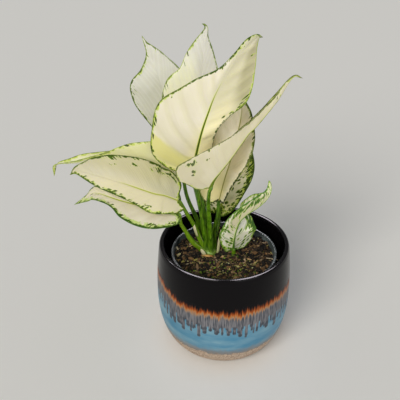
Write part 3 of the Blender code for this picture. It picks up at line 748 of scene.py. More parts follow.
def make_soil_bed(mat):
    """Soil with a lumpy top, filling the nursery pot."""
    sides = 144
    fit = NURSERY_WALL + GAP
    profile = [(nursery_radius(11.0) - fit, 11.2), (nursery_radius(60.0) - fit, 60.0),
               (nursery_radius(100.0) - fit, 100.0)]
    edge = nursery_radius(SOIL_Z - 1.0) - fit
    profile += [(edge * share, SOIL_Z) for share in np.linspace(1.0, 0.02, SOIL_RINGS)]
    rings = [circle(radius, z, sides) for radius, z in profile]
    for ring in rings[-SOIL_RINGS:]:
        ring[:, 2] += lump(ring[:, 0], ring[:, 1]) - 0.8
    points = np.concatenate(rings)
    faces = tube_faces(len(rings), sides)
    tint = 0.3 + 0.12 * np.sin(points[:, 0] * 0.31) * np.cos(points[:, 1] * 0.27)
    return mesh_object("soil_bed", points, faces, mat, {"tint": tint})


soil_bed = make_soil_bed(SOIL_BED)
ride(soil_bed, "potting_soil", "potting_soil")
print("soil bed:", len(soil_bed.data.polygons), "faces")

# %% [markdown]
# Chips, crumbs and tufts lie on the bed.  Particles could strew them, but they are not kept when a
# model is exported, so small balls are squashed, dented, turned and joined in one mesh for each
# kind.  Sizes are half those of real bits.

# %% Loose bits
BED_R = 53.5
DENTS = 0.25
TILT = 0.32
SINK = 0.6           # how deep a bit lies in the bed
TINT_POWER = 2.3     # above 1, so that most bits are dark


def ball():
    """Points and triangles of a small round ball with a radius of one."""
    work = bmesh.new()
    bmesh.ops.create_icosphere(work, subdivisions=1, radius=1.0)
    points = np.array([tuple(v.co) for v in work.verts])
    faces = [tuple(v.index for v in f.verts) for f in work.faces]
    work.free()
    return points, faces


def spin(rng):
    """A random turn about the vertical and a slight tilt, as a 3 by 3 matrix."""
    turn = rng.uniform(0.0, 2.0 * math.pi)
    tilt = rng.gauss(0.0, TILT)
    roll = rng.gauss(0.0, TILT)
    return np.array(Euler((roll, tilt, turn)).to_matrix())


def scatter(name, mat, count, size, place, seed):
    """Many small irregular bits in one mesh.

    size gives the least and most half length, half width and half thickness, and place returns a
    random spot on the bed.
    """
    rng = random.Random(seed)
    base, base_faces = ball()
    points = []
    faces = []
    tints = []
    for _ in range(count):
        x, y = place(rng)
        half = np.array([rng.uniform(*pair) for pair in size])
        bumps = 1.0 + DENTS * np.array([rng.uniform(-1.0, 1.0) for _ in base])
        corners = (base * bumps[:, None] * half) @ spin(rng).T
        z = SOIL_Z + float(lump(x, y)) - SINK + rng.uniform(-0.4, 0.8) * half[2]
        faces += [tuple(len(base) * len(tints) + i for i in face) for face in base_faces]
        points.append(corners + (x, y, z))
        tints.append(rng.random() ** TINT_POWER)
    tint = np.repeat(tints, len(base))
    obj = mesh_object(name, np.concatenate(points), faces, mat, {"tint": tint}, smooth=False)
    ride(obj, "potting_soil")


def anywhere(rng):
    """A random spot on the bed."""
    radius = BED_R * math.sqrt(rng.random())
    turn = rng.uniform(0.0, 2.0 * math.pi)
    return radius * math.cos(turn), radius * math.sin(turn)


def front_middle(rng):
    """A random spot near the front of the bed, where the moss grows."""
    while True:
        x = rng.gauss(4.0, 20.0)
        y = rng.gauss(-26.0, 15.0)
        if math.hypot(x, y) < BED_R:
            return x, y


def by_side_shoot(rng):
    """A random spot around the foot of the side shoot."""
    return rng.gauss(SIDE_X - 1.0, 5.0), rng.gauss(SIDE_Y - 5.0, 2.5)


# name, material, how many, sizes, place and the seed of the random draws
BITS = (
    ("soil_crumbs", CRUMBS, 560, ((1.3, 4.4), (0.9, 2.8), (0.8, 2.4)), anywhere, 11),
    ("bark_chips", BARK, 300, ((2.4, 7.4), (0.7, 2.1), (0.4, 1.2)), anywhere, 12),
    ("bark_flakes", FLAKES, 130, ((2.8, 8.6), (0.8, 2.3), (0.3, 0.5)), anywhere, 17),
    ("moss_tufts", MOSS, 380, ((0.8, 2.4), (0.6, 1.6), (0.5, 1.3)), front_middle, 13),
    ("pale_husks_front", HUSKS, 150, ((1.5, 4.6), (0.7, 1.6), (0.3, 0.5)), front_middle, 14),
    ("pale_husks_around", HUSKS, 60, ((1.2, 4.6), (0.6, 1.5), (0.3, 0.5)), anywhere, 15),
    ("moss_at_side_shoot", MOSS, 46, ((1.0, 2.2), (0.8, 1.6), (0.8, 2.0)), by_side_shoot, 16))
for bits in BITS:
    scatter(*bits)
print("bits on the soil:", sum(bits[2] for bits in BITS))

# %% [markdown]
# Coir is the husk of coconuts, and its stiff fibres curl out of the soil.  Curves with a bevel
# would do, but one mesh of thin square tubes is lighter and carries the tint of each fibre.

# %% Coir fibres
def make_fibres(mat, count, seed):
    """Thin curved fibres lying on the soil, in one mesh."""
    rng = random.Random(seed)
    steps = 7
    points = []
    faces = []
    tints = []
    for _ in range(count):
        x, y = anywhere(rng)
        turn = rng.uniform(0.0, 2.0 * math.pi)
        length = rng.uniform(4.0, 13.0)
        bend = rng.uniform(-0.9, 0.9)
        radius = rng.uniform(0.14, 0.34)
        hop = rng.uniform(0.2, 1.6)
        faces += tube_faces(steps, 4, len(points))
        for k in range(steps):
            share = k / (steps - 1) - 0.5
            way = turn + bend * share
            px = x + length * share * math.cos(way)
            py = y + length * share * math.sin(way)
            reach = math.hypot(px, py)
            if reach > BED_R:
                px *= BED_R / reach
                py *= BED_R / reach
            pz = SOIL_Z + float(lump(px, py)) + 0.2 + hop * (0.25 - share * share) * 2.0
            for side, rise in ((radius, 0.0), (0.0, radius), (-radius, 0.0), (0.0, -radius)):
                points.append((px - side * math.sin(way), py + side * math.cos(way), pz + rise))
        tints += [rng.random()] * (steps * 4)
    obj = mesh_object("coir_fibres", points, faces, mat, {"tint": tints})
    ride(obj, "potting_soil")
    return obj


fibres = make_fibres(COIR, 300, 21)
print("coir fibres:", len(fibres.data.polygons), "faces")

# %% [markdown]
# ## Leaf blades
# A real blade is thin and satin, with a sunk midrib and soft quilting between the side veins above
# and a round ridge below.  A subdivided plane with a Solidify modifier comes close, but it can't
# place the veins.  So rows of points run out from the midrib to the edge, in a closed thin body.
# Its points keep their row (0 at the base, 1 at the tip), the place across, the distances from the
# midrib, from the base and from the edge, the place along the side veins, and their face.

# %% Midrib
RIB_POINTS = 400


def along(values, share):
    """A value that changes evenly from the base (0) to the tip (1)."""
    if len(values) == 1:
        return np.full_like(share, float(values[0]))
    return np.interp(share, np.linspace(0.0, 1.0, len(values)), values)


class Midrib:
    """A curved midrib that carries the two halves of a blade."""

    def __init__(self, leaf):
        curve = smooth_curve(leaf["rib"], RIB_POINTS)
        steps = np.linalg.norm(np.diff(curve, axis=0), axis=1)
        self.run = np.concatenate([[0.0], np.cumsum(steps)])
        self.length = self.run[-1]
        self.curve = curve
        self.ahead = unit(np.gradient(curve, self.run, axis=0))
        share = self.run / self.length
        face = np.array(leaf["face"], dtype=float)
        face = np.stack([along(face[:, k], share) for k in range(3)], axis=1)
        self.up = unit(face - (face * self.ahead).sum(axis=1, keepdims=True) * self.ahead)

    def frame(self, distance):
        """Place, way ahead, way up and way to the right at distances along the rib."""
        inside = np.clip(distance, 0.0, self.length)

        def read(rows):
            return np.stack([np.interp(inside, self.run, rows[:, k]) for k in range(3)], axis=-1)

        ahead = unit(read(self.ahead))
        up = unit(read(self.up))
        place = read(self.curve) + ahead * (distance - inside)[..., None]
        return place, ahead, up, np.cross(ahead, up)


print("midribs in mm:", [round(float(Midrib(shape).length)) for shape in LEAVES.values()])

# %% [markdown]
# Each half is laid flat beside the rib, up to its outline, and then folded up about the rib.  The
# crease is rounded, as in a real leaf, over a millimetre or two.

# %% Middle surface of a blade
def blade_grid(leaf, rows, columns):
    """Middle surface of a blade, with the flat place of each of its points."""
    rib = Midrib(leaf)
    share = np.linspace(0.0, 1.0, rows + 1)
    outlines = {}
    for side in ("left", "right"):
        outlines[side] = smooth_curve(((0, 0), *leaf[side], (rib.length, 0)), rows + 1)
    level = 0.5 * (outlines["left"][:, 0] + outlines["right"][:, 0])
    root = rib.length * share ** RIB_POWER
    root += share ** 2 * (level - root)
    sides = [(-1.0, "left", v) for v in reversed(columns[1:])]
    sides += [(1.0, "right", v) for v in columns]
    grid = np.zeros((rows + 1, len(sides), 3))
    flat = np.zeros((rows + 1, len(sides), 3))
    for column, (sign, side, v) in enumerate(sides):
        outline = outlines[side]
        reach = root + (outline[:, 0] - root) * v
        out = np.maximum(outline[:, 1], 0.0) * v
        fold = np.radians(along(leaf["fold_" + side], np.clip(reach / rib.length, 0.0, 1.0)))
        fold = fold * (1.0 - (1.0 - np.exp(-out / FOLD_R)) * FOLD_R / np.maximum(out, 0.01))
        place, _, up, right = rib.frame(reach)
        sideways = (sign * out * np.cos(fold))[:, None] * right
        grid[:, column] = place + sideways + (out * np.sin(fold))[:, None] * up
        gaps = np.hypot(reach[:, None] - outline[None, :, 0], out[:, None] - outline[None, :, 1])
        flat[:, column, 0] = reach
        flat[:, column, 1] = sign * out
        flat[:, column, 2] = gaps.min(axis=1)
    return grid, flat, rib


print("creases are rounded over", FOLD_R, "mm")

# %% [markdown]
# The body is the middle surface, quilted between the side veins and gently waved at the edge, with
# half of the thickness on each side, a groove above the rib and a keel below it.

# %% Body of a blade
BLADE_ROWS = 96
BLADE_HALF_COLUMNS = 26
SIDE_VEINS = 9
SKIN = 0.30          # half of the thickness of a blade, away from its edge
EDGE_WAVE = 2.2
GROOVE_DEPTH = 0.55
GROOVE_WIDTH = 0.9
KEEL_LENGTH = 14.0
VEIN_RIDGE = 0.12


def vein_places(reach, out, length, slopes, seed):
    """Distance along the midrib at which the side vein through each point starts."""
    slope = slopes[0] + slopes[1] * np.clip(reach / length, 0.0, 1.0)
    start = reach - slope * np.abs(out)
    uneven = 0.30 * np.sin(11.0 * start / length + 2.1 * seed + np.sign(out))
    uneven += 0.35 * (out < 0.0)
    return start + uneven * length / SIDE_VEINS


def edge_waves(rng, share, across):
    """Gentle waves of the two edges, as a lift for each point."""
    wave = np.zeros(across.shape)
    for turns in (2.5, 4.5, 7.0):
        for side in (-1.0, 1.0):
            phase = rng.uniform(0.0, 2.0 * math.pi)
            size = rng.uniform(0.5, 1.0) * EDGE_WAVE / turns
            here = np.sin(2.0 * math.pi * turns * share + phase) * size
            wave += np.where(side * across > 0.0, here * np.abs(across) ** 3, 0.0)
    return wave


def make_blade(name, leaf, mat, seed, look):
    """A thin closed blade with veins, a sunk midrib above and a ridge below."""
    columns = (np.arange(BLADE_HALF_COLUMNS + 1) / BLADE_HALF_COLUMNS) ** 1.5
    grid, flat, rib = blade_grid(leaf, BLADE_ROWS, tuple(columns))
    rows, width = grid.shape[:2]
    middle = width // 2
    normals = unit(np.cross(np.gradient(grid, axis=1), np.gradient(grid, axis=0)))
    _, _, up, _ = rib.frame(rib.length * np.linspace(0.0, 1.0, rows) ** RIB_POWER)
    if (normals[rows // 2, middle] * up[rows // 2]).sum() < 0.0:
        normals = -normals
    normals[0] = up[0]
    normals[-1] = up[-1]
    share = np.linspace(0.0, 1.0, rows)[:, None]
    out = np.abs(flat[..., 1])
    across = np.zeros((rows, width))
    across[:, middle:] = columns
    across[:, :middle + 1] = -columns[::-1]
    taper = np.minimum(1.0, np.minimum(share * 12.0, (1.0 - share) * 6.0))
    lean = vein_places(flat[..., 0], flat[..., 1], rib.length, look["slopes"], seed)
    turns = SIDE_VEINS * lean / rib.length
    vein = np.cos(2.0 * math.pi * turns)
    fold = 0.5 - np.abs(np.sin(math.pi * turns)) ** 0.7
    quilt = -look["quilting"] * 2.0 * fold * np.sin(np.pi * np.abs(across).clip(0.0, 1.0)) * taper
    wave = edge_waves(np.random.default_rng(seed), share, across)
    body = grid + normals * (quilt + wave * taper)[..., None]
    thin = np.minimum(1.0, 0.45 + flat[..., 2] / 3.0)
    reach = rib.length * share ** RIB_POWER
    near_base = np.exp(-(reach / KEEL_LENGTH) ** 1.5)
    keel = (RIDGE - BLADE_HALF - 0.5) * near_base + 0.5
    keel = keel * (1.0 - share ** RIB_POWER) ** 0.7 * np.minimum(1.0, share * 30.0)
    keel_width = 0.75 + 0.5 * near_base
    groove = GROOVE_DEPTH * (1.0 - share) ** 0.6 * np.minimum(1.0, share * 30.0)
    top = body + normals * (SKIN * thin - groove * np.exp(-(out / GROOVE_WIDTH) ** 2))[..., None]
    under = body - normals * (SKIN * thin + keel * np.exp(-(out / keel_width) ** 2)
                              + VEIN_RIDGE * (vein > 0.9) * taper)[..., None]
    points = np.concatenate([top.reshape(-1, 3), under.reshape(-1, 3)])
    faces = sheet_faces(rows, width, ends=False)
    layers = {"row": np.repeat(share, width, axis=1), "across": across, "out": flat[..., 1],
              "reach": flat[..., 0], "margin": flat[..., 2], "lean": lean}
    attributes = {key: np.tile(values.ravel(), 2) for key, values in layers.items()}
    attributes["upper"] = np.repeat([1.0, 0.0], rows * width)
    return cleaned(mesh_object(name, points, faces, mat, attributes), merge=0.00002)


print("points on a blade:", 2 * (BLADE_ROWS + 1) * (2 * BLADE_HALF_COLUMNS + 1))

# %% [markdown]
# ## Leaf material
# A living blade, satin and a little translucent.  From the ground up: a cream tissue, soft washes
# of yellow or green, some of which are painted light or shade on a shaded or lit part, faint side
# veins, whose colour on the front middle leaf is painted shade in the valleys of the quilting, a
# green border of uneven width, dark green flecks that follow the veins, a thin dark rim and the
# midrib.  It could be painted by hand, but masks made from the numbers at the points follow every
# bend.  Places on a leaf are (row, place across), with left negative, and other distances are in
# mm.

# %% Places and noises on a leaf
def leaf_marks(tree, seed):
    """Places on a blade and noises over it, by name."""
    at = {key: add(tree, "Attribute " + key, output="Fac")
          for key in ("row", "across", "out", "reach", "margin", "lean", "upper")}
    at["distance"] = add(tree, "Math ABSOLUTE", at["out"])
    at["seat"] = add(tree, "CombineXYZ", at["row"], at["across"], 0.0)
    # noise in marks per mm: it follows the veins, fine across them and long along them, and the
    # cells of the skin, under 0.1 mm in the real leaf, are drawn 0.7 mm wide so that they show
    along_veins = add(tree, "CombineXYZ", at["lean"], at["out"], float(seed) * 7.0)
    fleck_map = add(tree, "Mapping", along_veins, Scale=(0.5, 0.22, 1.0))
    minor_map = add(tree, "Mapping", along_veins, Scale=(1.1, 0.06, 1.0))
    flat_place = add(tree, "CombineXYZ", at["reach"], at["out"], float(seed) * 3.0)
    at["fleck"] = add(tree, "TexNoise", fleck_map, 1.25, 2.0, 0.6)
    at["minor"] = add(tree, "TexNoise", minor_map, 0.8, 2.0)
    at["fine"] = add(tree, "TexNoise", flat_place, 1.4, 4.0)
    at["uneven"] = add(tree, "TexNoise", flat_place, 0.22, 4.0, 0.65)
    soft = add(tree, "TexNoise", flat_place, 0.035, 2.0)
    at["soft"] = add(tree, "MapRange SMOOTHSTEP", soft, 0.35, 0.65)
    return at


def near_spot(tree, seat, spot, size, strength, core=0.0):
    """A soft round mask about a place on the leaf; core is the share of it at full strength."""
    gap = add(tree, "VectorMath SUBTRACT", seat, (*spot, 0.0))
    gap = add(tree, "VectorMath MULTIPLY", gap, (1.0, 0.45, 1.0))
    gap = add(tree, "VectorMath LENGTH", gap, output="Value")
    return add(tree, "MapRange SMOOTHSTEP", gap, size, size * core, 0.0, strength)


print("helpers for places and noises on a leaf are ready")

# %% [markdown]
# The green border has a torn inner edge, and the rim is a line a fraction of a millimetre wide.
# Both change from base to tip, and differ from left to right, so each edge of a leaf has a list of
# (row, width of the light green, amount of flecks, rim), which a colour ramp holds as colours.

# %% Border and rim
LIGHT_SPAN = 5.0
FLECK_SPAN = 2.0


def leaf_border(tree, at, look):
    """Masks of the light green border and of the rim, and how many flecks go with them."""
    is_right = add(tree, "Math GREATER_THAN", at["across"], 0.0)
    sides = [add(tree, "ValToRGB", at["row"], stops=[
        (place, (light / LIGHT_SPAN, flecks / FLECK_SPAN, rim, 1.0))
        for place, light, flecks, rim in look[side]]) for side in ("left", "right")]
    edge = add(tree, "Mix RGBA", is_right, *sides)
    edge = add(tree, "SeparateColor", edge).node.outputs
    light_width = add(tree, "Math MULTIPLY", edge[0], LIGHT_SPAN * 1.5)
    amount = add(tree, "Math MULTIPLY", edge[1], FLECK_SPAN)
    ragged = add(tree, "MapRange", at["uneven"], 0.38, 0.62, 0.35, 1.5)
    light_width = add(tree, "Math MULTIPLY", light_width, ragged)
    fade = add(tree, "Math SUBTRACT", at["margin"], light_width)
    light = add(tree, "MapRange SMOOTHSTEP", fade, 0.6, -0.8, 0.0, 0.85)
    rim_width = add(tree, "Math MULTIPLY", edge[2], ragged)
    rim_gap = add(tree, "Math MULTIPLY_ADD", rim_width, look["rim"], 0.2)
    rim_gap = add(tree, "Math SUBTRACT", at["margin"], rim_gap)
    rim = add(tree, "MapRange SMOOTHSTEP", rim_gap, 0.35, -0.15)
    rim = add(tree, "Math MULTIPLY", rim, edge[2])
    patch = add(tree, "MapRange", at["uneven"], 0.42, 0.52, 1.0 - look["rim_gaps"])
    return light, add(tree, "Math MULTIPLY", rim, patch), amount


print("light green border: up to", LIGHT_SPAN, "mm wide in a look")

# %% [markdown]
# Flecks crowd at the border and in clusters, with a few anywhere, each with a light halo.  Noise
# drawn out along the veins makes the runs of colour, and a cell pattern the separate round spots.

# %% Flecks
def leaf_flecks(tree, at, look, amount, seed):
    """Masks of the dark flecks and of the halo around them."""
    depth = add(tree, "MapRange", at["margin"], look["fleck_depth"], 0.0, 0.0, 0.26)
    crowd = add(tree, "Math MULTIPLY", depth, amount)
    for *spot, size in look["clusters"]:
        crowd = add(tree, "Math MAXIMUM", crowd, near_spot(tree, at["seat"], spot, size, 0.30))
    level = add(tree, "Math SUBTRACT", look["flecks"], crowd)
    over = add(tree, "Math SUBTRACT", at["fleck"], level)
    bent = add(tree, "Math MULTIPLY_ADD", at["fine"], 1.6, at["out"])
    spot_place = add(tree, "CombineXYZ", at["lean"], bent, 0.0)
    spot_map = add(tree, "Mapping", spot_place, Location=(3.7 * seed, 1.3 * seed, 0.0),
                   Scale=(0.28, 0.2, 1.0))
    spot = add(tree, "TexVoronoi 2D", spot_map, Scale=1.0, Randomness=0.9)
    # every cell draws a lot: more of them win near the border, and each has a size of its own
    lot = add(tree, "SeparateColor", spot.node.outputs["Color"]).node.outputs
    odds = add(tree, "Math MULTIPLY_ADD", crowd, 1.9, look["spots"])
    wins = add(tree, "Math GREATER_THAN", odds, lot[0])
    radius = add(tree, "MapRange", lot[1], 0.0, 1.0, 0.18, 0.46)
    inside = add(tree, "Math SUBTRACT", radius, spot)
    inside = add(tree, "Math MULTIPLY", inside, 0.25)
    inside = add(tree, "Mix", wins, -1.0, inside)
    over = add(tree, "Math MAXIMUM", over, inside)
    halo = add(tree, "MapRange SMOOTHSTEP", over, -0.05, 0.0, 0.0, look["halo"])
    return add(tree, "MapRange SMOOTHSTEP", over, 0.0, 0.02), halo


print("helper for the flecks is ready")

# %% [markdown]
# On the face the midrib is widest at the base and gone towards the tip.  The underside is duller,
# with the same marks showing through it, and its ridge is green all along.

# %% Midrib and underside
def leaf_midrib(tree, at, look, travel):
    """Masks of the midrib and of the pale band around it."""
    left = add(tree, "MapRange", travel, look["rib_reach"], look["rib_reach"] * 0.7)
    width = add(tree, "MapRange", travel, look["rib_reach"], 0.0, 0.35, look["rib_width"])
    gap = add(tree, "Math SUBTRACT", at["distance"], width)
    light = add(tree, "MapRange SMOOTHSTEP", gap, 0.8, 0.0)
    rib = add(tree, "MapRange SMOOTHSTEP", gap, 0.1, -0.35)
    return add(tree, "Math MULTIPLY", rib, left), add(tree, "Math MULTIPLY", light, left)


def leaf_underside(tree, at, look, travel, skin):
    """Colour of the underside, from that of the face."""
    left = add(tree, "MapRange", travel, 0.95, 0.45)
    glow = add(tree, "MapRange SMOOTHSTEP", at["distance"], 2.6, 0.6, 0.0, 0.6)
    glow = add(tree, "Math MULTIPLY", glow, left)
    width = add(tree, "MapRange", at["reach"], 22.0, 0.0, 0.55, 1.7)
    ridge = add(tree, "Math SUBTRACT", width, at["distance"])
    ridge = add(tree, "MapRange SMOOTHSTEP", ridge, -0.3, 0.3)
    ridge = add(tree, "Math MULTIPLY", ridge, left)
    return paint(tree, skin, (look["under_mix"], look["under"]), (glow, look["rib_light"]),
                 (ridge, look["ridge_colour"]))


print("helpers for the midrib and the underside are ready")

# %% [markdown]
# The finish puts the masks in order over the cream tissue.  A waxy skin gives the leaf a soft
# gloss, light passes a little way into the watery tissue below it, and the minor veins and the
# cells of the skin break up the gloss as a fine relief.

# %% Leaf material
def leaf_material(name, look, seed):
    """A leaf surface from its look: colours, borders, midrib, washes and clusters of flecks."""
    mat, tree, shader = new_material(
        name, Subsurface_Weight=0.08, Subsurface_Radius=(0.8, 1.0, 0.3), Subsurface_Scale=0.002,
        Specular_IOR_Level=0.22)
    at = leaf_marks(tree, seed)
    # tissue, with fine paler and darker lines along the veins
    skin = paint(tree, look["base"], (at["soft"], look["warm"]))
    washes_and_painted_light = [(near_spot(tree, at["seat"], spot, size, strength, 0.45), shade)
              for *spot, size, shade, strength in look["washes_and_painted_light"]]
    start = raised(tree, at["reach"], (at["distance"], -0.25), (at["soft"], 5.0))
    start = add(tree, "MapRange SMOOTHSTEP", start, look["basal"] + 3.5, look["basal"] - 1.5,
                0.0, 0.9)
    on_left = add(tree, "Math LESS_THAN", at["across"], 0.0)
    start = add(tree, "Math MULTIPLY", start, on_left)
    lines = add(tree, "MapRange", at["minor"], 0.5, 0.8, 0.0, look["lines"])
    # side veins; on the front middle leaf their colour is painted shade in the quilt's valleys
    spacing = look["length"] / SIDE_VEINS
    turns = add(tree, "Math MULTIPLY", at["lean"], 2.0 * math.pi / spacing)
    vein = add(tree, "Math COSINE", turns)
    vein = add(tree, "MapRange SMOOTHSTEP", vein, look["vein_edge"], 1.0, 0.0, look["veins"])
    light, rim, amount = leaf_border(tree, at, look)
    dark, halo = leaf_flecks(tree, at, look, amount, seed)
    shade = add(tree, "MapRange", at["uneven"], 0.4, 0.6, 0.0, 0.4)
    dark_green = paint(tree, look["dark_green"], (shade, "#5d8412"))
    travel = add(tree, "Math MULTIPLY", at["reach"], 1.0 / look["length"])
    rib, rib_light = leaf_midrib(tree, at, look, travel)
    # all of it, from the tissue up
    skin = paint(tree, skin, *washes_and_painted_light, (start, look["basal_colour"]), (lines, look["vein"]),
                 (vein, look["vein"]), (light, look["light_green"]), (halo, look["light_green"]),
                 (dark, dark_green), (rim, look["rim_colour"]), (rib_light, look["rib_light"]),
                 (rib, look["rib_colour"]))
    below = leaf_underside(tree, at, look, travel, skin)
    skin = paint(tree, below, (at["upper"], skin))
    rough = add(tree, "MapRange", at["fine"], 0.3, 0.7, 0.34, 0.5)
    height = add(tree, "Math MULTIPLY_ADD", at["fine"], 0.2, at["minor"])
    relief = add(tree, "Bump", Strength=0.45, Distance=0.0006, Height=height)
    fill(shader, Base_Color=skin, Roughness=rough, Normal=relief)
    return mat


print("side veins on each half of a leaf:", SIDE_VEINS)

# %% [markdown]
# No two leaves of this plant are marked alike: the young ones are green with flecks, the old ones
# nearly white.  One material with a look for each leaf keeps them of one kind.  Colours are those
# of the leaf in soft light, and what a look leaves out is as in the plain one.  Some colours also
# hold painted light and shade: the base is lighter on leaves that lie in shade and darker on leaves
# in the key light, and some washes lighten a shaded part or darken a lit one.

# %% Looks of the leaves
# base and warm: the tissue, made lighter or darker on some leaves as painted light and shade;
# light_green and dark_green: border and flecks; veins, lines, halo and under_mix: strengths;
# slopes:
# lean of the side veins; flecks and spots: how rare they are; basal, fleck_depth, rim and
# rib_width:
# mm; rib_reach: share of the length; washes: (row, place across, size, colour, strength), some of
# them painted light or shade; clusters: (row, place across, size)
PLAIN_LOOK = dict(
    base="#f3f0de", warm="#ece8cb", under="#dcdab8", washes_and_painted_light=(), vein="#d3d6a0", veins=0.12,
    lines=0.2, light_green="#c2d94e", dark_green="#36490a", fleck_depth=5, flecks=0.79,
    spots=0.002, quilting=0.28, vein_edge=0.5, slopes=(0.4, 1.5), halo=0.55,
    basal=-50.0, basal_colour="#dcd884", under_mix=0.1,
    clusters=(), rim=1.3, rim_gaps=0.55, rim_colour="#435c08", rib_colour="#7a8a1c",
    rib_light="#cfd868", rib_reach=0.8, rib_width=0.5, ridge_colour="#5d7a1c",
    left=((0, 0.8, 0.5, 0.8), (1, 0.8, 0.5, 0.8)),
    right=((0, 0.8, 0.5, 0.8), (1, 0.8, 0.5, 0.8)))

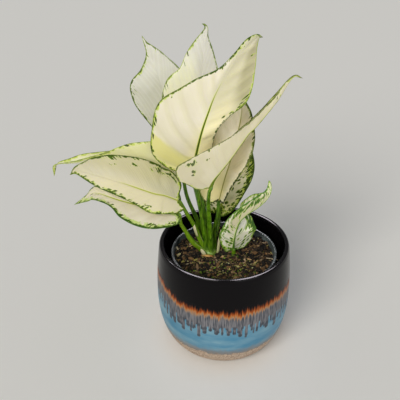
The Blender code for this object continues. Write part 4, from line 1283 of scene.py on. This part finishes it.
LOOKS = {
    "leaf_back_left": dict(
        base="#e0e0d3", warm="#d6d6c6", vein="#f4f4ec", rib_reach=0.12, veins=0.18,
        vein_edge=-0.2, quilting=0.2, lines=0.12, slopes=(2.4, 0.2), rim_gaps=0.4,
        left=((0, 0.6, 0.4, 0.8), (0.3, 1, 0.9, 0.9), (0.45, 0.8, 0.6, 0.9),
              (0.62, 0.9, 0.7, 1), (0.7, 2, 1.1, 1), (0.8, 1.2, 0.9, 0.8),
              (1, 0.6, 0.2, 0.6)),
        right=((0, 0.5, 0.2, 0.8), (0.7, 0.4, 0.2, 0.7), (0.86, 0.8, 0.5, 0.8),
               (1, 0.6, 0.2, 0.6))),
    "leaf_back_middle": dict(
        base="#e0dfd4", warm="#d9d8cb", vein="#f2f2ea", rib_reach=0.12, veins=0.2,
        vein_edge=-0.2, quilting=0.2, lines=0.12, slopes=(2.4, 0.2),
        # the wash on the lower left is a pale yellow tint and also painted light, where the front
        # middle leaf casts shade
        washes_and_painted_light=((0.36, -0.6, 0.42, "#ffffdc", 1),),
        left=((0, 0.6, 0.3, 0.9), (0.3, 0.8, 0.5, 0.9), (0.45, 1.2, 0.8, 0.7),
              (0.6, 0.5, 0.4, 0.2), (0.70, 0.6, 0.3, 0.3), (0.74, 1.4, 0.9, 0.7),
              (0.9, 0.7, 0.6, 0.9), (1, 1, 0.2, 0.8)),
        right=((0, 0.6, 0.2, 0.8), (0.6, 0.6, 0.3, 0.7), (0.75, 0.5, 0.5, 0.9),
               (1, 0.8, 0.2, 0.7))),
    "leaf_front_middle": dict(
        base="#efe9d4", warm="#e8e2c9", rib_colour="#455a06", rib_light="#d0dc5e",
        # vein: painted shade, in the valleys of the quilting along the side veins
        rib_width=1.35, rib_reach=0.64, vein="#d8d4a8", veins=0.3, vein_edge=-0.1, quilting=0.95,
        slopes=(0.1, 2.1), basal=19.0, basal_colour="#e0db88",
        # washes at the tip and on the upper right: painted shade; the warm one at (0.36, 0.42): a
        # yellow tint, and also painted light in the shade of the fold
        washes_and_painted_light=((0.88, 0, 0.32, "#ccc8ac", 0.9), (0.64, 0.5, 0.30, "#dcd7b4", 0.9),
                (0.74, 0.95, 0.24, "#aaa57c", 0.8),
                (0.36, 0.42, 0.34, "#fff6c4", 0.95), (0.22, 0.2, 0.14, "#eeea9c", 0.8)),
        clusters=((0.60, 0.88, 0.06), (0.22, -0.9, 0.05), (0.30, 0.7, 0.05)),
        left=((0, 1.6, 0.9, 0.8), (0.15, 1.8, 1.1, 0.9), (0.3, 1.2, 1, 0.9),
              (0.43, 1.8, 1.1, 0.6), (0.55, 1.2, 0.6, 0.9), (0.68, 0.5, 0.2, 1),
              (0.85, 1.6, 0.8, 1), (1, 1.4, 0.8, 1)),
        right=((0, 0.4, 0.1, 0.5), (0.3, 0.2, 0.1, 0.8), (0.5, 0.3, 0.1, 0.9),
               (0.57, 1.2, 0.8, 0.8), (0.66, 1.2, 0.9, 0.5), (0.75, 0.4, 0.1, 0.2),
               (0.92, 0.3, 0.4, 0.3), (0.96, 1, 1, 1))),
    "leaf_front_right": dict(
        # base set darker, as painted shade, because this leaf faces the key light
        base="#e0d9bc", warm="#d8d1b0", under="#dcd4b4", vein="#cec496", ridge_colour="#5f7418",
        rim_colour="#4c5512", rim=0.8, rim_gaps=0.3,
        clusters=((0.41, 0.80, 0.09), (0.35, 0.6, 0.05), (0.48, 0.62, 0.04)),
        rib_colour="#5c6e14", rib_width=0.9, quilting=0.4, rib_light="#d3d682",
        left=((0, 0.6, 0.4, 0.9), (0.5, 0.6, 0.4, 1), (0.74, 1.4, 0.9, 1),
              (0.82, 2.4, 0.9, 1), (0.9, 0.8, 0.3, 0.9), (1, 1.5, 0.3, 0.8)),
        right=((0, 1.4, 0.8, 0.9), (0.25, 1.2, 0.9, 1), (0.42, 0.6, 0.7, 0.9),
               (0.6, 0.3, 0.2, 0.9), (0.8, 0.8, 0.4, 1), (1, 1.5, 0.3, 0.8))),
    "leaf_right_upper": dict(
        # base and warm near white, as painted light on a leaf in the shade of the leaves in front
        base="#fcf5dc", warm="#f8ecca", rib_colour="#7a7420", rib_light="#d0cc84",
        rib_width=0.4, rib_reach=1, rim_colour="#2f3d08", rim=1.8, rim_gaps=0.1,
        washes_and_painted_light=((0.3, -0.5, 0.4, "#e4d890", 0.8), (0.3, 0.15, 0.2, "#efe6a6", 0.5)),
        clusters=((0.31, -0.15, 0.03),),
        left=((0, 0.8, 0.5, 1), (0.12, 0.8, 0.5, 1), (0.2, 0.6, 0.3, 0.5),
              (1, 0.6, 0.4, 0.6)),
        right=((0, 0.8, 0.5, 1), (0.35, 1, 0.6, 1), (0.5, 0.8, 0.6, 0.8),
               (0.65, 1.6, 1.1, 0.8), (0.85, 1.6, 1.1, 0.8), (1, 0.8, 0.5, 0.6))),
    "leaf_right_lower": dict(
        # base and warm near white, as painted light on a leaf in the shade of the leaves in front
        base="#fff8d8", warm="#faf0c4", flecks=0.70, fleck_depth=8, spots=0.2,
        dark_green="#34460a", light_green="#bdd14a", rim_gaps=0.4, halo=0.8,
        washes_and_painted_light=((0.2, 0.7, 0.25, "#d3cd7e", 0.6),),
        clusters=((0.85, 0.7, 0.30), (0.66, 0.8, 0.14), (0.5, 0.3, 0.05), (0.3, -0.6, 0.08)),
        left=((0, 3, 0.9, 0.8), (0.3, 2.2, 0.9, 0.9), (0.6, 2, 1, 1),
              (1, 2, 1, 1)),
        right=((0, 2.6, 0.9, 0.9), (0.2, 2.6, 1.1, 0.9), (0.4, 2.2, 1.1, 0.7),
               (0.55, 3.5, 1.3, 0.5), (0.8, 5, 1.5, 0.4), (1, 3, 1.3, 0.6))),
    "leaf_left_upper": dict(
        base="#f9f8cd", warm="#f6f5ba", under="#f8f7c8", light_green="#d2e65c",
        vein="#dfe38c", rib_reach=0.3, lines=0.15, quilting=0.2, under_mix=0.05,
        # the wash near the tip is painted light, on a part that lies in shade
        washes_and_painted_light=((0.9, 0, 0.5, "#ffffd6", 0.95),),
        left=((0, 0.6, 0.2, 0.8), (0.45, 1.4, 0.2, 0.8), (0.7, 2.2, 0.3, 0.7),
              (1, 2.6, 0.1, 0.6)),
        right=((0, 0.6, 0.2, 0.8), (0.5, 1.6, 0.2, 0.7), (1, 2.4, 0.1, 0.7))),
    "leaf_left_middle": dict(
        # base set darker, as painted shade on a lit leaf; the grey washes on the right half are
        # partly the leaf's own grey and partly painted shade
        base="#dcd6b4", warm="#d4cfb2", rib_colour="#98a03c", rib_light="#cdd078",
        rib_width=0.55, rib_reach=0.55, vein="#ccc69c", quilting=0.16, lines=0.1,
        rim=1.6, rim_gaps=0.35, flecks=0.76,
        washes_and_painted_light=((0.5, -0.4, 0.4, "#dcd4ac", 0.7), (0.28, 0.5, 0.36, "#c0bd9e", 0.8),
                (0.55, 0.9, 0.35, "#c8c297", 0.8)),
        clusters=((0.40, 0.8, 0.09), (0.32, 0.82, 0.10), (0.22, 0.9, 0.08), (0.64, 0.93, 0.08),
                  (0.66, 0.65, 0.04), (0.55, 0.75, 0.04), (0.44, -0.7, 0.05)),
        left=((0, 2.6, 1.2, 0.9), (0.12, 1.6, 0.7, 0.9), (0.35, 2, 1.1, 0.9),
              (0.5, 1.4, 0.8, 1), (0.75, 1.6, 0.9, 1), (0.95, 1.6, 0.7, 0.9)),
        right=((0, 2.4, 1, 0.9), (0.12, 2.6, 1.2, 0.9), (0.3, 2, 1.3, 0.9),
               (0.42, 0.6, 0.5, 1), (0.6, 0.5, 0.7, 1), (0.66, 0.9, 0.8, 1),
               (0.8, 1, 0.4, 0.9), (1, 1, 0.2, 0.8))),
    "leaf_left_lower": dict(
        base="#e9e3c9", warm="#e3dbc0", vein="#d5ccae", light_green="#bfd673", lines=0.15,
        rim=1.7, rim_gaps=0.35, rim_colour="#365a0a", flecks=0.75,
        clusters=((0.85, -0.15, 0.06), (0.45, -0.8, 0.08), (0.3, -0.8, 0.08)),
        left=((0, 2.6, 1, 0.9), (0.3, 3.4, 1.3, 0.9), (0.6, 3.2, 1.5, 1),
              (0.8, 1.8, 1.2, 0.9), (1, 2.8, 0.2, 0.6)),
        right=((0, 1, 0.6, 0.9), (0.8, 1.2, 0.6, 0.9), (1, 2.4, 0.3, 0.7))),
    "leaf_side_shoot": dict(
        base="#f3f2de", warm="#e9e8c8", under="#f0efd6", vein="#6f9a34", veins=0.55, lines=0.3,
        vein_edge=0.86, quilting=0.1,
        rib_colour="#4a7a1e", rib_width=0.6, rib_reach=1, flecks=0.70, fleck_depth=9,
        ridge_colour="#47701a", rib_light="#b9d070", light_green="#a8cc30", spots=0.26,
        dark_green="#34600a", rim_colour="#3f7410", rim_gaps=0.4, halo=0.9,
        under_mix=0.02,
        washes_and_painted_light=((0.68, 0.4, 0.30, "#cfc6a0", 0.9), (0, 0, 0.25, "#a9c06a", 0.5)),
        clusters=((0.60, 0.72, 0.12), (0.74, 0.6, 0.16), (0.46, 0.75, 0.10), (0.5, -0.85, 0.16)),
        left=((0, 1.8, 0.8, 0.8), (0.3, 1.9, 0.6, 0.7), (0.48, 2.4, 0.7, 0.7),
              (0.62, 1.2, 0.4, 0.6), (1, 1.6, 0.3, 0.5)),
        right=((0, 1.8, 0.8, 0.8), (0.3, 1.8, 0.7, 0.8), (0.5, 1.2, 0.6, 0.9),
               (0.62, 1, 0.8, 1), (0.85, 1.2, 0.8, 1), (1, 1.6, 0.4, 0.6))),
}
print(len(LOOKS), "looks, with", sum(len(look) for look in LOOKS.values()), "changes")

# %% [markdown]
# Each leaf gets a blade and a material of its own, and takes the place of its solid.  Copies of one
# leaf would be quicker, but every leaf here is bent and marked in its own way.

# %% Leaf blades
for number, (leaf_name, shape) in enumerate(LEAVES.items()):
    look = {**PLAIN_LOOK, **LOOKS[leaf_name], "length": float(Midrib(shape).length)}
    skin = leaf_material("living_" + leaf_name, look, number + 1)
    blade = make_blade("blade_" + leaf_name[5:], shape, skin, 40 + number, look)
    ride(blade, "cream_leaf", leaf_name)
    print(leaf_name, round(look["length"]), "mm,", len(blade.data.polygons), "faces")

# %% [markdown]
# ## Stalks
# Each leaf stalk is fleshy and satin, with a groove along the side that faces the leaf's upper
# side.  In its lower half the edges of the groove widen into the thin pale wings of the sheath.
# A bevelled curve would be round all along, so rings of points are drawn out and in instead, and
# a mark on the wings lets the material pale them.

# %% Stalk material
def stalk_material():
    """Green fleshy stalk: paler low down, and pale at the edges of the sheath."""
    mat, tree, shader = new_material(
        "green_stalk", Roughness=0.34, Subsurface_Weight=0.08,
        Subsurface_Radius=(0.3, 1.0, 0.2), Subsurface_Scale=0.002)
    share, wing, tint = [add(tree, "Attribute " + key, output="Fac")
                         for key in ("share", "wing", "tint")]
    place = add(tree, "TexCoord", output="Object")
    long_place = add(tree, "Mapping", place, Scale=(1.0, 1.0, 0.08))
    # marks per metre: fibres 1.1 mm wide, coarser than real ones so that they show
    fibre = add(tree, "TexNoise", long_place, 900.0, 3.0)
    mottle = add(tree, "TexNoise", place, 130.0, 3.0)
    shade = add(tree, "Math MULTIPLY", mottle, 0.5)
    shade = add(tree, "Math MULTIPLY_ADD", fibre, 0.5, shade)
    shade = add(tree, "ValToRGB", shade, stops=((0.38, "#264c00"), (0.62, "#5f8d0a")))
    low = add(tree, "MapRange SMOOTHSTEP", share, 0.16, 0.0, 0.0, 0.45)
    streak = add(tree, "MapRange", fibre, 0.45, 0.7, 0.0, 0.3)
    pale = add(tree, "MapRange SMOOTHSTEP", wing, 0.5, 0.85)
    lit = paint(tree, shade, (tint, "#8cb51c"), (low, "#a5bf6a"), (streak, "#96b83a"),
                (pale, "#c6d193"))
    relief = add(tree, "Bump", Strength=0.3, Distance=0.0003, Height=fibre)
    fill(shader, Base_Color=lit, Normal=relief)
    return mat


STALK = stalk_material()
STALK_TINTS = {"leaf_left_lower": 0.55, "leaf_left_middle": 0.35, "leaf_right_lower": 0.1}
print("stalk material made")

# %% [markdown]
# A stalk follows its route and ends in the ridge below its blade, thick at the cane and slim at
# the top.  The groove turns on the way from the cane to the face of the leaf.

# %% Leaf stalks
STALK_SIDES = 28
STALK_ROWS = 44
GROOVE_SPREAD = 0.5
WING_TURN = 0.75      # place of the wings, in radians from the middle of the groove
WING_SPREAD = 0.16
WING_HEIGHT = 0.55    # in radii of the stalk
SHEATH_END = 0.55     # share of the stalk at which its wings end


def stalk_path(leaf, waypoints, count):
    """Centre line of a stalk that runs into the ridge under the base of its blade."""
    rib = Midrib(leaf)
    place, ahead, up, _ = rib.frame(np.array([0.0]))
    end = place[0] - up[0] * (BLADE_HALF + GAP + STALK_TIP_R) - ahead[0] * (GAP + 0.1)
    before = end - ahead[0] * STALK_JOINT
    path = smooth_curve((*waypoints, before), count, spread=1.0)
    return np.vstack([path, end, end + ahead[0] * 3.5 + up[0] * 0.5]), up[0]


def make_stalk(name, path, radii, groove_way, tint, sheath=1.0):
    """A grooved stalk along a path, with sheath wings on its lower part."""
    ahead = unit(np.gradient(path, axis=0))
    steps = np.linalg.norm(np.diff(path, axis=0), axis=1)
    share = np.concatenate([[0.0], np.cumsum(steps)]) / steps.sum()
    turn = np.linspace(-math.pi, math.pi, STALK_SIDES, endpoint=False)
    points = []
    wings = []
    for k, place in enumerate(path):
        up = unit(groove_way[k] - (groove_way[k] * ahead[k]).sum() * ahead[k])
        side = np.cross(ahead[k], up)
        amount = sheath * max(0.0, min(1.0, (SHEATH_END - share[k]) / 0.25))
        wing = np.exp(-((np.abs(turn) - WING_TURN) / WING_SPREAD) ** 2)
        groove = np.exp(-(turn / GROOVE_SPREAD) ** 2)
        radius = radii[k] * (1.0 + amount * WING_HEIGHT * wing
                             - (0.22 + 0.25 * amount) * groove)
        ring = np.cos(turn)[:, None] * up + np.sin(turn)[:, None] * side
        points.append(place + ring * radius[:, None])
        wings.append(wing * amount)
    points = np.concatenate(points)
    faces = tube_faces(len(path), STALK_SIDES)
    attributes = {"share": np.repeat(share, STALK_SIDES), "wing": np.concatenate(wings),
                  "tint": np.full(len(points), tint)}
    return cleaned(mesh_object(name, points, faces, STALK, attributes))


for leaf_name, waypoints in STALKS.items():
    path, face = stalk_path(LEAVES[leaf_name], waypoints, STALK_ROWS)
    share = np.linspace(0.0, 1.0, len(path))
    radii = STALK_TIP_R + (SHEATH_R - STALK_TIP_R) * (1.0 - share) ** 1.3
    radii[-1] = 1.1        # the last ring lies inside the ridge of the blade
    inward = np.array([CANE_X, CANE_Y, 0.0]) - path * (1.0, 1.0, 0.0)
    groove_way = unit(inward + 1e-3) * (1.0 - share)[:, None] + face * share[:, None]
    stalk = make_stalk("stalk_" + leaf_name[5:], path, radii, groove_way,
                       STALK_TINTS.get(leaf_name, 0.0))
    ride(stalk, "green_stalk", "main_shoot")
print("leaf stalks:", len(STALKS))

# %% [markdown]
# The stalks spring from a short ringed cane, a tube with five soft lobes, and the young leaf beside
# it from a shoot of its own.  Both use the stalk material, because they are the same green flesh.

# %% Cane and side shoot
CANE_SIDES = 40
SIDE_ROWS = 18


def make_cane():
    """Short ringed cane at the foot of the main shoot, from (height, radius)."""
    profile = ((74.0, 6.0), (78.0, 7.5), (96.0, 9.6), (104.0, 10.4), (107.0, 9.6), (108.0, 9.2),
               (109.5, 8.8), (111.0, 7.6), (112.5, 5.0), (113.2, 2.0))
    turn = np.linspace(0.0, 2.0 * math.pi, CANE_SIDES, endpoint=False)
    lobes = 1.0 + 0.05 * np.cos(5.0 * turn + 0.4)
    points = np.concatenate([circle(radius * lobes, z, CANE_SIDES, (CANE_X, CANE_Y))
                             for z, radius in profile])
    size = len(points)
    return mesh_object("cane", points, tube_faces(len(profile), CANE_SIDES), STALK,
                       {"share": np.full(size, 0.05), "wing": np.zeros(size),
                        "tint": np.full(size, 0.2)})


cane = make_cane()
ride(cane, "green_stalk", "main_shoot")
place, ahead, side_up, _ = Midrib(LEAVES["leaf_side_shoot"]).frame(np.array([0.0]))
side_end = place[0] - side_up[0] * (BLADE_HALF + GAP + STALK_TIP_R)
side_path = smooth_curve(((SIDE_X, SIDE_Y, 84.0), (SIDE_X, SIDE_Y, 96.0), (SIDE_X, SIDE_Y, 107.0),
                          side_end, side_end + ahead[0] * 4.0), SIDE_ROWS, spread=1.0)
side_radii = np.interp(np.linspace(0.0, 1.0, SIDE_ROWS), (0.0, 0.6, 0.9, 1.0),
                       (2.6, 3.1, 2.0, 1.2))
side_stalk = make_stalk("side_shoot_stalk", side_path, side_radii,
                        np.tile(side_up, (SIDE_ROWS, 1)), 0.15, sheath=0.0)
ride(side_stalk, "green_stalk", "side_shoot")
print("cane and side shoot made")

# %% [markdown]
# ## Sheath scales
# Small scales stand or lie at the foot of the plant: cream tips of young sheaths, a cut stub and
# one dry, orange-brown scale.  Each is a cupped, pointed sheet with a papery, finely lined skin.
# A grid that narrows to its tip is the simplest shape with a cup in it.

# %% Sheath scales
SCALE_THICKNESS = 0.35
SCALE_CUP = 0.45


def scale_material(name, dark, light):
    """Papery scale with fine lengthwise lines."""
    mat, tree, shader = new_material(name, Roughness=0.55)
    share = add(tree, "Attribute share", output="Fac")
    place = add(tree, "TexCoord", output="Object")
    long_place = add(tree, "Mapping", place, Scale=(1.0, 1.0, 0.15))
    # dry sheath is like paper: matt, with lines 0.9 mm apart along it
    fibre = add(tree, "TexNoise", long_place, 1100.0, 3.0)
    mixed = add(tree, "Math MULTIPLY_ADD", fibre, 0.7, share)
    shade = add(tree, "ValToRGB", mixed, stops=((0.25, dark), (0.99, light)))
    relief = add(tree, "Bump", Strength=0.4, Distance=0.0003, Height=fibre)
    fill(shader, Base_Color=shade, Normal=relief)
    return mat


def make_scale(name, start, end, out_way, width, curl, mat):
    """A cupped, pointed scale from its foot to its tip."""
    rows = 16
    columns = 9
    start, end, out_way = np.array([start, end, out_way], dtype=float)
    ahead = unit(end - start)
    bulge = unit(out_way - (out_way * ahead).sum() * ahead)
    side = np.cross(ahead, bulge)
    points = []
    shares = []
    for layer in (0.0, -SCALE_THICKNESS):
        for i in range(rows):
            t = i / (rows - 1)
            half = 0.5 * width * (0.75 + 0.5 * t) * (1.0 - t ** 2.6) + 0.05
            middle = start + (end - start) * t + bulge * curl * math.sin(math.pi * t)
            for j in range(columns):
                s = 2.0 * j / (columns - 1) - 1.0
                cup = -SCALE_CUP * half * s * s
                points.append(middle + side * half * s + bulge * (cup + layer))
                shares.append(t)
    obj = cleaned(mesh_object(name, points, sheet_faces(rows, columns), mat, {"share": shares}))
    ride(obj, "green_stalk")


CREAM_SCALE = scale_material("cream_sheath_scale", "#a9b26a", "#e6deb4")
DRY_SCALE = scale_material("dry_sheath_scale", "#7d4a1f", "#d9a860")
# name, foot, tip, way out, width and bend
SCALES = (
    ("young_sheath_tip", (-30.0, 0.0, 132.0), (-35.0, -3.0, 157.0), (-0.5, -0.8, 0.2), 4.0, 1.0),
    ("cut_sheath_stub", (-21.0, -1.5, 106.0), (-25.5, -3.5, 118.0), (-0.4, -0.9, 0.1), 6.0, 0.8),
    ("right_sheath_scale", (-6.0, 2.0, 107.0), (-3.5, 4.0, 138.0), (0.6, -0.7, 0.1), 5.0, 0.6),
    ("dry_scale", (-12.0, -4.0, 108.6), (-24.0, -5.0, 110.0), (0.0, -0.3, 1.0), 3.6, 0.8))
for scale in SCALES:
    make_scale(*scale, DRY_SCALE if scale[0] == "dry_scale" else CREAM_SCALE)
print("sheath scales:", len(SCALES))

# %% [markdown]
# ## Studio
# A plain pale floor, a broad soft light from the front left, a weaker one from the right and an
# even pale sky, as for a picture in a catalogue.  An HDR picture could light the scene, but a few
# lamps are simpler to aim.

# %% Floor
FLOOR_REACH = 4000.0

# matt paper, so that it shows soft shadows and no reflection
floor_material, _, _ = new_material("pale_floor", Base_Color="#f3f3f0", Roughness=0.9,
                                    Specular_IOR_Level=0.1)
floor = mesh_object("studio_floor",
                    [(x * FLOOR_REACH, y * FLOOR_REACH, 0.0)
                     for x, y in ((-1, -1), (1, -1), (1, 1), (-1, 1))],
                    [(0, 1, 2, 3)], floor_material, smooth=False)
print("floor made")

# %% [markdown]
# The glaze is so smooth that it mirrors what is above it: two pale panels, which draw the bright
# crescents on the lips.  They light the two pots only, and only as a reflection.  The fill light
# leaves out the floor, where it would show as a bright spot from behind.

# %% Lights
KEY_PLACE = (-0.55, -0.90, 0.70)
PANEL_Z = 1.127


def add_light(name, kind, place, target, power, tint, **settings):
    """A light that looks at a point, with settings of its lamp."""
    data = bpy.data.lights.new(name, kind)
    data.energy = power
    data.color = colour(tint)[:3]
    for key, value in settings.items():
        setattr(data, key, value)
    light = bpy.data.objects.new(name, data)
    light.location = place
    way = Vector(target) - Vector(place)
    light.rotation_euler = way.to_track_quat("-Z", "Y").to_euler()
    bpy.context.scene.collection.objects.link(light)
    return light


add_light("key_light", "SUN", KEY_PLACE, (0.0, 0.0, 0.0), 1.76, "#fffaf2",
          angle=math.radians(32.0))
fill_light = add_light("fill_light", "AREA", (0.65, -0.95, 0.35), (0.0, 0.0, 0.15), 4.0,
                       "#fbfaff", shape="RECTANGLE", size=0.8, size_y=0.6)
all_but_floor = bpy.data.collections.new("all_but_floor")
all_but_floor.objects.link(floor)
all_but_floor.collection_objects[0].light_linking.link_state = "EXCLUDE"
fill_light.light_linking.receiver_collection = all_but_floor
glazed = bpy.data.collections.new("glazed_pieces")
glazed.objects.link(cover_pot)
glazed.objects.link(nursery_pot)
for name, x, y, wide, deep, power in (("left_top_panel", -0.69, 0.08, 1.12, 1.24, 210.0),
                                      ("right_top_panel", 0.46, 0.02, 0.62, 1.12, 106.0)):
    panel = add_light(name, "AREA", (x, y, PANEL_Z), (x, y, 0.0), power, "#efe6ef",
                      shape="RECTANGLE", size=wide, size_y=deep)
    panel.visible_diffuse = False
    panel.light_linking.receiver_collection = glazed
    panel.light_linking.blocker_collection = glazed

world = bpy.data.worlds.new("studio_sky")
world.use_nodes = True
fill(world.node_tree.nodes["Background"], "#f2f3f5", 0.375)
bpy.context.scene.world = world
bpy.context.scene.view_settings.view_transform = "Standard"
print("lights made")
